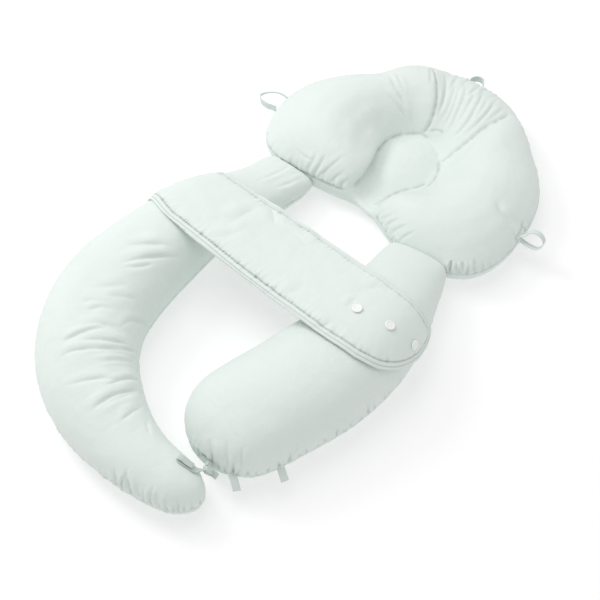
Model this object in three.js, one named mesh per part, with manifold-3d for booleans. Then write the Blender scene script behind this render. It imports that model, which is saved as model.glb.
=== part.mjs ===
// A baby's soothing pillow: a head cushion with a hollow for the head, two long arms that curve
// round the child, and a belly belt that snaps shut across them.
// Millimetres, +Z up, +Y towards the head. It lies on z = 0, with the origin at the bottom centre
// of its box. The tables below are in the maker's pattern frame, whose x = 0 runs through the head.
import * as THREE from "three";
import { mergeVertices } from "three/addons/utils/BufferGeometryUtils.js";
import Module from "manifold-3d";

const wasm = await Module();
wasm.setup();

// Driving sizes
const TOUCH_GAP = 0.6;
const SNAP_GAP = 0.9;
const BELT_CLEARANCE = 2.6;
const BELT_THICKNESS = 3.6;
const TAPE_WIDTH = 10;
const TAPE_THICKNESS = 1.2;
const SNAP_DIAMETER = 14;
const SNAP_HEIGHT = 3;

// Head cushion: a ring of sections round the middle of the hollow. Each row gives the section's
// direction in degrees from +X, how far its inner end is swung from that, the distance to the sewn
// rim and the rim's height, the distance to the quilted seam of the hollow, the height of the padded
// crown between the two, and where the crown lies, as a share of the way from the hollow to the rim.
const HEAD_MIDDLE = new THREE.Vector2(0, 285);
const HOLLOW_SEAM_HEIGHT = 24;
const HOLLOW_SWELL = 11;
const RIM_TUCK = 30;
const HEAD_SECTIONS = [
  { angle: -90, swing: 0, rim: 107, seam: 30, hollow: 98, crown: 33, place: 0.5 },
  { angle: -85, swing: 0, rim: 110, seam: 34, hollow: 84, crown: 44, place: 0.5 },
  { angle: -79, swing: 0, rim: 120, seam: 38, hollow: 68, crown: 57, place: 0.5 },
  { angle: -71, swing: 0, rim: 138, seam: 42, hollow: 58, crown: 68, place: 0.5 },
  { angle: -60, swing: 0, rim: 163, seam: 44, hollow: 53, crown: 77, place: 0.5 },
  { angle: -46, swing: 0, rim: 194, seam: 44, hollow: 51, crown: 83, place: 0.52 },
  { angle: -36, swing: 0, rim: 211, seam: 44, hollow: 50, crown: 85, place: 0.52 },
  { angle: -24, swing: -1, rim: 212, seam: 44, hollow: 49, crown: 85, place: 0.52 },
  { angle: -11, swing: -3, rim: 204, seam: 44, hollow: 48, crown: 84, place: 0.52 },
  { angle: 3, swing: -8, rim: 198, seam: 44, hollow: 47, crown: 82, place: 0.54 },
  { angle: 16, swing: -15, rim: 189, seam: 44, hollow: 46, crown: 79, place: 0.56 },
  { angle: 30, swing: -23, rim: 176, seam: 44, hollow: 46, crown: 76, place: 0.58 },
  { angle: 43, swing: -31, rim: 172, seam: 44, hollow: 46, crown: 73, place: 0.6 },
  { angle: 52, swing: -35, rim: 173, seam: 43, hollow: 46, crown: 66, place: 0.62 },
  { angle: 57, swing: -36, rim: 174, seam: 42, hollow: 46, crown: 56, place: 0.62 },
  { angle: 64, swing: -35, rim: 174, seam: 42, hollow: 47, crown: 61, place: 0.62 },
  { angle: 76, swing: -31, rim: 170, seam: 42, hollow: 49, crown: 62, place: 0.62 },
  { angle: 90, swing: -27, rim: 166, seam: 42, hollow: 50, crown: 60, place: 0.62 },
  { angle: 99, swing: -25, rim: 163, seam: 42, hollow: 50, crown: 61, place: 0.6 },
  { angle: 105, swing: -22, rim: 162, seam: 43, hollow: 50, crown: 72, place: 0.6 },
  { angle: 115, swing: -17, rim: 161, seam: 44, hollow: 50, crown: 77, place: 0.6 },
  { angle: 127, swing: -11, rim: 155, seam: 44, hollow: 48, crown: 78, place: 0.6 },
  { angle: 138, swing: -6, rim: 149, seam: 44, hollow: 46, crown: 79, place: 0.6 },
  { angle: 150, swing: -2, rim: 160, seam: 44, hollow: 44, crown: 82, place: 0.58 },
  { angle: 164, swing: 0, rim: 180, seam: 44, hollow: 42, crown: 84, place: 0.54 },
  { angle: 178, swing: 0, rim: 197, seam: 44, hollow: 40, crown: 85, place: 0.5 },
  { angle: 192, swing: 0, rim: 204, seam: 44, hollow: 39, crown: 85, place: 0.46 },
  { angle: 204, swing: 0, rim: 203, seam: 44, hollow: 41, crown: 84, place: 0.44 },
  { angle: 213, swing: 0, rim: 184, seam: 44, hollow: 44, crown: 81, place: 0.44 },
  { angle: 222, swing: 0, rim: 154, seam: 44, hollow: 48, crown: 77, place: 0.46 },
  { angle: 232, swing: 0, rim: 131, seam: 42, hollow: 54, crown: 69, place: 0.48 },
  { angle: 241, swing: 0, rim: 117, seam: 38, hollow: 66, crown: 57, place: 0.5 },
  { angle: 247, swing: 0, rim: 109, seam: 34, hollow: 84, crown: 44, place: 0.5 },
  { angle: 254, swing: 0, rim: 102, seam: 30, hollow: 93, crown: 33, place: 0.5 },
  { angle: 262, swing: 0, rim: 103, seam: 29, hollow: 95, crown: 31, place: 0.5 },
];

// Arms: each row is a section across the stuffed tube, with its middle, half its width, and the
// heights of its crown, its side seams and its underside. The first rows lie inside the head
// cushion, where its rim cuts the arm off along the joining seam.
const LEFT_ARM_SECTIONS = [
  { x: -117, y: 208, half: 33, crown: 44, seam: 36, base: 30 },
  { x: -124, y: 188, half: 38, crown: 50, seam: 36, base: 10 },
  { x: -132, y: 165, half: 40, crown: 56, seam: 38, base: 0 },
  { x: -146, y: 128, half: 40, crown: 65, seam: 41, base: 0 },
  { x: -166, y: 87, half: 44, crown: 79, seam: 43, base: 0 },
  { x: -188, y: 40, half: 54, crown: 95, seam: 45, base: 0 },
  { x: -201, y: -14, half: 60, crown: 106, seam: 46, base: 0 },
  { x: -212, y: -68, half: 66, crown: 111, seam: 46, base: 0 },
  { x: -218, y: -122, half: 70, crown: 114, seam: 46, base: 0 },
  { x: -211, y: -172, half: 70, crown: 113, seam: 46, base: 0 },
  { x: -191, y: -215, half: 69, crown: 110, seam: 46, base: 0 },
  { x: -165, y: -246, half: 66, crown: 105, seam: 45, base: 0 },
  { x: -133, y: -270, half: 61, crown: 99, seam: 44, base: 0 },
  { x: -95, y: -289, half: 53, crown: 91, seam: 43, base: 0 },
  { x: -54, y: -302, half: 45, crown: 84, seam: 42, base: 0 },
  { x: -12, y: -307, half: 39, crown: 77, seam: 40, base: 0 },
  { x: 22, y: -306, half: 35, crown: 72, seam: 38, base: 0 },
  { x: 49, y: -303, half: 32, crown: 68, seam: 36, base: 0 },
];
const LEFT_ARM_TIP = 46;
const RIGHT_ARM_SECTIONS = [
  { x: 92, y: 172, half: 38, crown: 46, seam: 38, base: 30 },
  { x: 95, y: 156, half: 44, crown: 54, seam: 38, base: 8 },
  { x: 97, y: 136, half: 48, crown: 66, seam: 42, base: 0 },
  { x: 100, y: 103, half: 54, crown: 82, seam: 44, base: 0 },
  { x: 103, y: 60, half: 62, crown: 100, seam: 46, base: 0 },
  { x: 105, y: 12, half: 69, crown: 111, seam: 47, base: 0 },
  { x: 99, y: -36, half: 75, crown: 117, seam: 48, base: 0 },
  { x: 84, y: -86, half: 78, crown: 119, seam: 48, base: 0 },
  { x: 63, y: -135, half: 78, crown: 118, seam: 48, base: 0 },
  { x: 40, y: -180, half: 77, crown: 113, seam: 47, base: 0 },
  { x: 20, y: -219, half: 75, crown: 105, seam: 45, base: 0 },
  { x: 5, y: -257, half: 73, crown: 97, seam: 43, base: 0 },
];
const RIGHT_ARM_TIP = 68;

// Belly belt: its lower and upper edges in plan, from the end that is sewn into the left arm's
// outer seam to the free end over the right arm.
const BELT_SECTIONS = [
  { along: 0, lowX: -256, lowY: 16, highX: -206, highY: 112 },
  { along: 0.12, lowX: -208, lowY: -11, highX: -160, highY: 102 },
  { along: 0.25, lowX: -160, lowY: -28, highX: -112, highY: 94 },
  { along: 0.5, lowX: -56, lowY: -50, highX: -22, highY: 79 },
  { along: 0.75, lowX: 60, lowY: -68, highX: 78, highY: 60 },
  { along: 1, lowX: 180, lowY: -74, highX: 180, highY: 46 },
];
const BELT_SEWN_LENGTH = 10;
const BELT_SEWN_GAP = 1.1;
const BELT_SAG = 4;
const BELT_TIP_START = 110;

// Belt's free end: how far its edge reaches beyond the tip's start, across the belt from the lower
// edge as a share. The lower corner is drawn out long, the upper one is short.
const BELT_TIP_OUTLINE = [
  { across: 0, reach: 14 },
  { across: 0.04, reach: 36 },
  { across: 0.16, reach: 62 },
  { across: 0.36, reach: 84 },
  { across: 0.6, reach: 100 },
  { across: 0.8, reach: 106 },
  { across: 0.94, reach: 100 },
  { across: 1, reach: 80 },
];

// Snaps: where each one's middle lies in plan, on top of the belt.
const SNAPS = [
  { x: 92, y: -10 },
  { x: 138, y: -6 },
  { x: 171, y: 1 },
];

// Tapes: points along the middle of each, and the way its width runs there. The ends of the loops
// and tabs start inside the cushion, which cuts them off at its seam.
const LOOP_LEFT = [
  { x: -194, y: 256, z: 44, wideX: 0, wideY: 0.1, wideZ: 1 },
  { x: -204, y: 255, z: 45, wideX: 0, wideY: 0.15, wideZ: 1 },
  { x: -213, y: 253, z: 46, wideX: 0, wideY: 0.15, wideZ: 1 },
  { x: -225, y: 256, z: 46, wideX: 0, wideY: 0, wideZ: 1 },
  { x: -231, y: 264, z: 45, wideX: 0.2, wideY: -0.2, wideZ: 0.9 },
  { x: -225, y: 275, z: 44, wideX: 0.3, wideY: -0.4, wideZ: 0.85 },
  { x: -211, y: 283, z: 43, wideX: 0.28, wideY: -0.4, wideZ: 0.85 },
  { x: -199, y: 282, z: 43, wideX: 0.2, wideY: -0.3, wideZ: 0.9 },
  { x: -189, y: 279, z: 43, wideX: 0.1, wideY: -0.2, wideZ: 1 },
];
const LOOP_RIGHT = [
  { x: 193, y: 246, z: 46, wideX: 0.1, wideY: -0.9, wideZ: 0.4 },
  { x: 202, y: 248, z: 49, wideX: 0.1, wideY: -0.9, wideZ: 0.4 },
  { x: 209, y: 254, z: 56, wideX: 0.1, wideY: -0.9, wideZ: 0.4 },
  { x: 219, y: 256, z: 57, wideX: 0.1, wideY: -0.9, wideZ: 0.4 },
  { x: 230, y: 253, z: 49, wideX: 0.1, wideY: -0.85, wideZ: 0.45 },
  { x: 226, y: 247, z: 38, wideX: 0.1, wideY: -0.8, wideZ: 0.55 },
  { x: 210, y: 245, z: 37, wideX: 0.1, wideY: -0.9, wideZ: 0.4 },
  { x: 202, y: 245, z: 39, wideX: 0.1, wideY: -0.9, wideZ: 0.4 },
  { x: 193, y: 245, z: 40, wideX: 0.1, wideY: -0.9, wideZ: 0.4 },
];
const LOOP_TOP = [
  { x: 3, y: 441, z: 43, wideX: 0, wideY: 0.3, wideZ: 1 },
  { x: 8, y: 451, z: 42, wideX: 0, wideY: 0.5, wideZ: 0.85 },
  { x: 13, y: 459, z: 34, wideX: 0, wideY: 0.6, wideZ: 0.8 },
  { x: 21, y: 462, z: 29, wideX: 0, wideY: 0.6, wideZ: 0.8 },
  { x: 28, y: 459, z: 34, wideX: 0, wideY: 0.6, wideZ: 0.8 },
  { x: 31, y: 451, z: 40, wideX: 0, wideY: 0.5, wideZ: 0.85 },
  { x: 31, y: 440, z: 42, wideX: 0, wideY: 0.3, wideZ: 1 },
];
const TAB_LAYERS = 2.6;
const TABS = [
  [
    { x: 54, y: -254, z: 41, wideX: 0.5, wideY: 0.85, wideZ: 0.1 },
    { x: 62, y: -259, z: 40, wideX: 0.5, wideY: 0.85, wideZ: 0.1 },
    { x: 70, y: -265, z: 35, wideX: 0.5, wideY: 0.85, wideZ: 0.1 },
    { x: 75, y: -269, z: 28, wideX: 0.5, wideY: 0.85, wideZ: 0.1 },
  ],
  [
    { x: 98, y: -212, z: 42, wideX: 0.45, wideY: 0.88, wideZ: 0.1 },
    { x: 106, y: -217, z: 41, wideX: 0.45, wideY: 0.88, wideZ: 0.1 },
    { x: 114, y: -223, z: 36, wideX: 0.45, wideY: 0.88, wideZ: 0.1 },
    { x: 119, y: -226, z: 29, wideX: 0.45, wideY: 0.88, wideZ: 0.1 },
  ],
];

// Tie between the arm tips: the end that lies on the left arm, the end sewn to the right arm, and
// the free tail, all three meeting in the knot.
const TIE_KNOT = new THREE.Vector3(36, -274, 51);
const TIE_KNOT_SIZE = new THREE.Vector3(9, 6, 5);
const TIE_ENDS = [
  [
    { x: -3, y: -287, z: 63, wideX: 0.1, wideY: -0.8, wideZ: 0.55 },
    { x: 8, y: -286, z: 71, wideX: 0.1, wideY: -0.8, wideZ: 0.55 },
    { x: 17, y: -286, z: 69, wideX: 0.1, wideY: -0.86, wideZ: 0.49 },
    { x: 26, y: -286, z: 65, wideX: 0.1, wideY: -0.87, wideZ: 0.4 },
    { x: 33, y: -282, z: 57, wideX: 0, wideY: -0.8, wideZ: 0.6 },
    { x: 36, y: -274, z: 51, wideX: -0.2, wideY: -0.4, wideZ: 0.9 },
  ],
  [
    { x: 2, y: -250, z: 48, wideX: 0, wideY: 0.3, wideZ: 1 },
    { x: 3, y: -262, z: 53, wideX: 0, wideY: 0.3, wideZ: 1 },
    { x: 13, y: -267, z: 55, wideX: 0, wideY: 0.1, wideZ: 1 },
    { x: 25, y: -270, z: 54, wideX: 0, wideY: 0, wideZ: 1 },
    { x: 36, y: -274, z: 51, wideX: 0, wideY: 0, wideZ: 1 },
  ],
  [
    { x: 35, y: -274, z: 51, wideX: 0.2, wideY: 0.6, wideZ: 0.8 },
    { x: 43, y: -273, z: 49, wideX: 0.2, wideY: 0.6, wideZ: 0.8 },
    { x: 49, y: -273, z: 46, wideX: 0.2, wideY: 0.6, wideZ: 0.8 },
  ],
];

// Values between the rows of a table, found by the row's key: smooth ones unless told otherwise.
function tableCurve(rows, keys, columns, Interpolant = THREE.CubicInterpolant) {
  const values = rows.flatMap((row) => columns.map((column) => row[column]));
  const curve = new Interpolant(keys, values, columns.length);
  return (key) => {
    const found = curve.evaluate(key);
    return Object.fromEntries(columns.map((column, i) => [column, found[i]]));
  };
}

// Lengths along a table of points, from its first row.
function lengthsAlong(rows) {
  const lengths = [0];
  for (let i = 1; i < rows.length; i++) {
    const rise = (rows[i].z ?? 0) - (rows[i - 1].z ?? 0);
    lengths.push(lengths[i - 1] + Math.hypot(rows[i].x - rows[i - 1].x, rows[i].y - rows[i - 1].y, rise));
  }
  return lengths;
}

// A closed solid from rings of points, each end drawn together into one point.
function ringSolid(firstPoint, rings, lastPoint) {
  const positions = [firstPoint, ...rings.flat(), lastPoint].flatMap((point) => point.toArray());
  const count = rings[0].length;
  const last = 1 + rings.length * count;
  const faces = [];
  for (let i = 0; i < count; i++) {
    const next = (i + 1) % count;
    faces.push(0, 1 + i, 1 + next);
    for (let ring = 0; ring < rings.length - 1; ring++) {
      const a = 1 + ring * count;
      const b = a + count;
      faces.push(a + i, b + i, b + next);
      faces.push(a + i, b + next, a + next);
    }
    const end = 1 + (rings.length - 1) * count;
    faces.push(end + i, last, end + next);
  }
  const geometry = new THREE.BufferGeometry();
  geometry.setAttribute("position", new THREE.Float32BufferAttribute(positions, 3));
  geometry.setIndex(faces);
  return geometry;
}

// A closed solid between an upper and a lower grid of points, with walls round its four edges.
function sheetSolid(upper, lower) {
  const rows = upper.length;
  const columns = upper[0].length;
  const positions = [...upper.flat(), ...lower.flat()].flatMap((point) => point.toArray());
  const top = (i, j) => i * columns + j;
  const under = (i, j) => rows * columns + i * columns + j;
  const faces = [];
  const quad = (a, b, c, d) => faces.push(a, b, c, a, c, d);
  for (let i = 0; i < rows - 1; i++) {
    for (let j = 0; j < columns - 1; j++) {
      quad(top(i, j), top(i + 1, j), top(i + 1, j + 1), top(i, j + 1));
      quad(under(i, j), under(i, j + 1), under(i + 1, j + 1), under(i + 1, j));
    }
    quad(top(i, 0), under(i, 0), under(i + 1, 0), top(i + 1, 0));
    const j = columns - 1;
    quad(top(i, j), top(i + 1, j), under(i + 1, j), under(i, j));
  }
  for (let j = 0; j < columns - 1; j++) {
    quad(top(0, j), top(0, j + 1), under(0, j + 1), under(0, j));
    const i = rows - 1;
    quad(top(i, j), under(i, j), under(i, j + 1), top(i, j + 1));
  }
  const geometry = new THREE.BufferGeometry();
  geometry.setAttribute("position", new THREE.Float32BufferAttribute(positions, 3));
  geometry.setIndex(faces);
  return geometry;
}

function toSolid(geometry) {
  const merged = mergeVertices(geometry, 1e-4);
  return new wasm.Manifold(new wasm.Mesh({
    numProp: 3,
    vertProperties: new Float32Array(merged.attributes.position.array),
    triVerts: new Uint32Array(merged.index.array),
  }));
}

function toGeometry(solid) {
  const mesh = solid.getMesh();
  const geometry = new THREE.BufferGeometry();
  geometry.setAttribute("position", new THREE.Float32BufferAttribute(mesh.vertProperties, 3));
  geometry.setIndex(new THREE.Uint32BufferAttribute(mesh.triVerts, 1));
  return geometry;
}

// What is left of a piece where its neighbour's swollen form is cut away from it.
function cutBy(solid, neighbour) {
  const bodies = solid.subtract(neighbour).decompose();
  const largest = bodies.reduce((a, b) => (a.volume() > b.volume() ? a : b));
  return toGeometry(largest);
}

// The head cushion, grown by the given amount on every side.
function headGeometry(grow) {
  const across = [0.05, 0.14, 0.27, 0.46, 0.64, 0.8, 0.91, 0.975];
  const floor = [0.45, 0.8];
  const tuck = [22, 45, 68, 90];
  const columns = ["swing", "rim", "seam", "hollow", "crown", "place"];
  const first = HEAD_SECTIONS[0];
  const last = HEAD_SECTIONS[HEAD_SECTIONS.length - 1];
  const rows = [
    { ...last, angle: last.angle - 360 },
    ...HEAD_SECTIONS,
    { ...first, angle: first.angle + 360 },
  ];
  const section = tableCurve(rows, rows.map((row) => row.angle), columns);
  const angles = HEAD_SECTIONS.flatMap((row, i) => {
    const next = i + 1 < HEAD_SECTIONS.length ? HEAD_SECTIONS[i + 1].angle : first.angle + 360;
    return [row.angle, (row.angle + next) / 2];
  });
  const stations = angles.map((angle) => ({ angle: THREE.MathUtils.degToRad(angle), ...section(angle) }));
  const at = (station, share, radius, height) => {
    const swing = THREE.MathUtils.degToRad(station.swing) * (1 - share) ** 2;
    const angle = station.angle + swing;
    const x = HEAD_MIDDLE.x + radius * Math.cos(angle);
    return new THREE.Vector3(x, HEAD_MIDDLE.y + radius * Math.sin(angle), height);
  };
  const crownHeight = (station, share) => {
    const inner = share < station.place;
    const foot = inner ? HOLLOW_SEAM_HEIGHT : station.seam;
    const run = inner ? share / station.place : (1 - share) / (1 - station.place);
    return foot + (station.crown - foot) * Math.sin((Math.PI / 2) * run) ** 0.8;
  };
  const rings = [];
  for (const share of floor) {
    const height = HOLLOW_SEAM_HEIGHT + HOLLOW_SWELL * (1 - share ** 2);
    rings.push(stations.map((s) => at(s, 0, s.hollow * share, height + grow)));
  }
  rings.push(stations.map((s) => at(s, 0, s.hollow, HOLLOW_SEAM_HEIGHT + grow)));
  for (const share of across) {
    rings.push(stations.map((s) => {
      const radius = s.hollow + (s.rim - s.hollow) * share;
      return at(s, share, radius + grow * share, crownHeight(s, share) + grow);
    }));
  }
  rings.push(stations.map((s) => at(s, 1, s.rim + grow, s.seam)));
  for (const degrees of tuck) {
    const angle = THREE.MathUtils.degToRad(degrees);
    rings.push(stations.map((s) => {
      const radius = s.rim + grow - RIM_TUCK * (1 - Math.cos(angle));
      return at(s, 1, radius, s.seam * (1 - Math.sin(angle)) - grow * Math.sin(angle));
    }));
  }
  const top = new THREE.Vector3(HEAD_MIDDLE.x, HEAD_MIDDLE.y, HOLLOW_SEAM_HEIGHT + HOLLOW_SWELL + grow);
  const bottom = new THREE.Vector3(HEAD_MIDDLE.x, HEAD_MIDDLE.y, -grow);
  return ringSolid(top, rings, bottom);
}

// One stuffed arm: sections swept along the table's middle line, with a round closed tip.
function armGeometry(sections, tipLength, stepLength, pointsRound) {
  const columns = ["x", "y", "half", "crown", "seam", "base"];
  const keys = lengthsAlong(sections);
  const length = keys[keys.length - 1];
  const section = tableCurve(sections, keys, columns);
  const straight = Math.round((length - tipLength) / stepLength);
  const places = [];
  for (let i = 0; i < straight; i++) places.push((length - tipLength) * (i / straight));
  const tipSteps = 7;
  for (let i = 0; i < tipSteps; i++) {
    places.push(length - tipLength * (1 - Math.sin((Math.PI / 2) * (i / tipSteps))));
  }
  const ring = (place) => {
    const s = section(place);
    const ahead = section(Math.min(place + 1, length));
    const behind = section(Math.max(place - 1, 0));
    const along = new THREE.Vector2(ahead.x - behind.x, ahead.y - behind.y).normalize();
    const intoTip = Math.max(0, (place - (length - tipLength)) / tipLength);
    const round = Math.sqrt(1 - intoTip ** 2);
    const points = [];
    for (let i = 0; i < pointsRound; i++) {
      const turn = (2 * Math.PI * i) / pointsRound;
      const side = Math.sign(Math.cos(turn)) * Math.abs(Math.cos(turn)) ** 0.9 * s.half * round;
      const lift = Math.abs(Math.sin(turn)) ** 0.9;
      const height = Math.sin(turn) >= 0
        ? s.seam + (s.crown - s.seam) * lift * round ** 0.8
        : s.seam - (s.seam - Math.max(0, s.base)) * Math.min(1, 1.12 * lift * round ** 0.6);
      points.push(new THREE.Vector3(s.x + along.y * side, s.y - along.x * side, height));
    }
    return points;
  };
  const start = section(0);
  const end = section(length);
  return ringSolid(
    new THREE.Vector3(start.x, start.y, start.seam),
    places.map(ring),
    new THREE.Vector3(end.x, end.y, end.seam),
  );
}

// An arm's table for a slightly larger arm, which cuts its tapes short of it.
function swell(sections) {
  const grow = 1.4 * TOUCH_GAP;
  const before = sections[sections.length - 2];
  const last = sections[sections.length - 1];
  const step = Math.hypot(last.x - before.x, last.y - before.y);
  return sections.map((row) => ({
    ...row,
    x: row.x + (row === last ? (grow * (last.x - before.x)) / step : 0),
    y: row.y + (row === last ? (grow * (last.y - before.y)) / step : 0),
    half: row.half + grow,
    crown: row.crown + TOUCH_GAP,
  }));
}

// The belly belt's middle surface, as a grid of points: lines pulled taut over both arms, laid a
// little off them, and cut to the outline of the free end.
function beltGrid(arms) {
  const acrossSteps = 16;
  const bodySteps = 26;
  const tipSteps = 10;
  const samples = 160;
  const caster = new THREE.Raycaster();
  const down = new THREE.Vector3(0, 0, -1);
  const above = 400;
  const armHeight = (x, y) => {
    caster.set(new THREE.Vector3(x, y, above), down);
    const hits = caster.intersectObjects(arms);
    return hits.length ? above - hits[0].distance : 0;
  };
  const columns = ["lowX", "lowY", "highX", "highY"];
  const plan = tableCurve(BELT_SECTIONS, BELT_SECTIONS.map((row) => row.along), columns);
  const outline = tableCurve(BELT_TIP_OUTLINE, BELT_TIP_OUTLINE.map((row) => row.across), ["reach"]);
  const planPoint = (along, across) => {
    const edge = plan(along);
    const x = THREE.MathUtils.lerp(edge.lowX, edge.highX, across);
    const y = THREE.MathUtils.lerp(edge.lowY, edge.highY, across);
    return new THREE.Vector3(x, y, armHeight(x, y));
  };
  const lastOn = (from, to, across) => {
    let on = from;
    let off = to;
    while (Math.abs(off - on) > 1e-4) {
      const half = (on + off) / 2;
      if (planPoint(half, across).z > 0) on = half;
      else off = half;
    }
    return on;
  };
  const lines = [];
  for (let j = 0; j <= acrossSteps; j++) {
    const across = (1 - Math.cos((Math.PI * j) / acrossSteps)) / 2;
    const first = lastOn(0.1, 0, across);
    const last = lastOn(0.9, 1, across);
    const onArms = [];
    for (let i = 0; i <= samples; i++) {
      const share = (1 - Math.cos((Math.PI * i) / samples)) / 2;
      const point = planPoint(first + (last - first) * share, across);
      if (point.z > 0) onArms.push(point);
    }
    const laid = tautLine(onArms);
    const keys = lengthsAlong(laid);
    const after = laid.findIndex((point) => point.x > BELT_TIP_START);
    const between = (BELT_TIP_START - laid[after - 1].x) / (laid[after].x - laid[after - 1].x);
    const tipStart = THREE.MathUtils.lerp(keys[after - 1], keys[after], between);
    const reach = Math.min(outline(across).reach, keys[keys.length - 1] - tipStart);
    const at = tableCurve(laid, keys, ["x", "y", "z"], THREE.LinearInterpolant);
    lines.push({ tipStart, reach, at });
  }
  return Array.from({ length: bodySteps + tipSteps + 1 }, (_, i) => lines.map((line) => {
    const body = line.tipStart * Math.min(1, i / bodySteps);
    const point = line.at(body + line.reach * Math.max(0, (i - bodySteps) / tipSteps));
    return new THREE.Vector3(point.x, point.y, point.z);
  }));
}

// A line pulled taut over the points below it, in their own upright plane: it rests on the high
// ones and bridges the rest with a slight sag.
function tautLine(points) {
  const start = points[0];
  const distance = (p) => Math.hypot(p.x - start.x, p.y - start.y);
  const hull = [];
  for (const p of points) {
    while (hull.length > 1) {
      const a = hull[hull.length - 2];
      const b = hull[hull.length - 1];
      const turn = (distance(b) - distance(a)) * (p.z - a.z) - (b.z - a.z) * (distance(p) - distance(a));
      if (turn < 0) break;
      hull.pop();
    }
    hull.push(p);
  }
  const laid = [];
  for (let i = 0; i < hull.length; i++) {
    const before = hull[Math.max(i - 1, 0)];
    const after = hull[Math.min(i + 1, hull.length - 1)];
    const along = after.clone().sub(before).normalize();
    const side = new THREE.Vector3(0, 0, 1).cross(along).normalize();
    const out = along.clone().cross(side);
    const sewn = Math.min(1, hull[i].distanceTo(start) / BELT_SEWN_LENGTH);
    const lift = BELT_THICKNESS / 2 + THREE.MathUtils.lerp(BELT_SEWN_GAP, BELT_CLEARANCE, sewn);
    laid.push(hull[i].clone().addScaledVector(out, lift));
    if (i === hull.length - 1) break;
    const gap = hull[i + 1].distanceTo(hull[i]);
    if (gap < 60) continue;
    for (const share of [0.15, 0.3, 0.5, 0.7, 0.85]) {
      const bridge = hull[i].clone().lerp(hull[i + 1], share);
      bridge.z += lift - BELT_SAG * Math.sin(Math.PI * share) ** 2;
      laid.push(bridge);
    }
  }
  return laid;
}

// A sheet of even thickness on both sides of a grid of points.
function thickSheet(grid, thickness) {
  const rows = grid.length;
  const columns = grid[0].length;
  const normalAt = (i, j) => {
    const along = grid[Math.min(i + 1, rows - 1)][j].clone().sub(grid[Math.max(i - 1, 0)][j]);
    const across = grid[i][Math.min(j + 1, columns - 1)].clone().sub(grid[i][Math.max(j - 1, 0)]);
    return along.cross(across).normalize();
  };
  const offset = (amount) => grid.map((row, i) => row.map(
    (point, j) => point.clone().addScaledVector(normalAt(i, j), amount),
  ));
  return sheetSolid(offset(thickness / 2), offset(-thickness / 2));
}

// A strip of tape along a table of points.
function tapeSolid(rows, thickness) {
  const keys = lengthsAlong(rows);
  const columns = ["x", "y", "z", "wideX", "wideY", "wideZ"];
  const at = tableCurve(rows, keys, columns);
  const length = keys[keys.length - 1];
  const steps = Math.round(length / 3);
  const grid = [];
  for (let i = 0; i <= steps; i++) {
    const s = at((length * i) / steps);
    const middle = new THREE.Vector3(s.x, s.y, s.z);
    const half = new THREE.Vector3(s.wideX, s.wideY, s.wideZ).setLength(TAPE_WIDTH / 2);
    grid.push([middle.clone().sub(half), middle.clone().add(half)]);
  }
  return toSolid(thickSheet(grid, thickness));
}

// The tie: three ends of tape and a small tight knot where they meet.
function tieSolid() {
  const knot = new THREE.SphereGeometry(1, 12, 8);
  knot.deleteAttribute("uv");
  knot.deleteAttribute("normal");
  knot.scale(...TIE_KNOT_SIZE.toArray());
  knot.translate(...TIE_KNOT.toArray());
  return TIE_ENDS.reduce((solid, end) => solid.add(tapeSolid(end, TAPE_THICKNESS)), toSolid(knot));
}

function snapGeometry() {
  const radius = SNAP_DIAMETER / 2;
  const profile = [
    [0, 0], [radius, 0], [radius, SNAP_HEIGHT * 0.35], [radius * 0.88, SNAP_HEIGHT * 0.8],
    [radius * 0.72, SNAP_HEIGHT], [radius * 0.52, SNAP_HEIGHT * 0.85], [radius * 0.42, SNAP_HEIGHT * 0.6],
    [0, SNAP_HEIGHT * 0.6],
  ];
  return new THREE.LatheGeometry(profile.map(([r, h]) => new THREE.Vector2(r, h)), 24);
}

const pillow = new THREE.Group();
pillow.name = "soothing_pillow";

function addPiece(name, geometry, finish) {
  geometry.computeVertexNormals();
  const mesh = new THREE.Mesh(geometry, finish);
  mesh.name = name;
  pillow.add(mesh);
  return mesh;
}

const cotton = new THREE.MeshStandardMaterial({ color: 0xe0e9e4, roughness: 0.9, metalness: 0 });
const whitePlastic = new THREE.MeshStandardMaterial({ color: 0xf2f6f5, roughness: 0.4, metalness: 0 });

const armStep = 18;
const armPoints = 24;
const leftArm = armGeometry(LEFT_ARM_SECTIONS, LEFT_ARM_TIP, armStep, armPoints);
const rightArm = armGeometry(RIGHT_ARM_SECTIONS, RIGHT_ARM_TIP, armStep, armPoints);
const swollenHead = toSolid(headGeometry(TOUCH_GAP));
const swollenLeft = toSolid(armGeometry(swell(LEFT_ARM_SECTIONS), LEFT_ARM_TIP, armStep, armPoints));
const swollenRight = toSolid(armGeometry(swell(RIGHT_ARM_SECTIONS), RIGHT_ARM_TIP, armStep, armPoints));

addPiece("head_cushion", headGeometry(0), cotton);
addPiece("left_arm", cutBy(toSolid(leftArm), swollenHead), cotton);
addPiece("right_arm", cutBy(toSolid(rightArm), swollenHead), cotton);

const beltForms = [
  new THREE.Mesh(armGeometry(LEFT_ARM_SECTIONS, LEFT_ARM_TIP, armStep / 3, armPoints * 3)),
  new THREE.Mesh(armGeometry(RIGHT_ARM_SECTIONS, RIGHT_ARM_TIP, armStep / 3, armPoints * 3)),
];
const belt = addPiece("belly_belt", thickSheet(beltGrid(beltForms), BELT_THICKNESS), cotton);

const downward = new THREE.Raycaster();
SNAPS.forEach((snap, i) => {
  downward.set(new THREE.Vector3(snap.x, snap.y, 400), new THREE.Vector3(0, 0, -1));
  const hit = downward.intersectObject(belt)[0];
  const mesh = addPiece(`snap_${i + 1}`, snapGeometry(), whitePlastic);
  mesh.position.copy(hit.point).addScaledVector(hit.face.normal, SNAP_GAP);
  mesh.quaternion.setFromUnitVectors(new THREE.Vector3(0, 1, 0), hit.face.normal);
});

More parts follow.
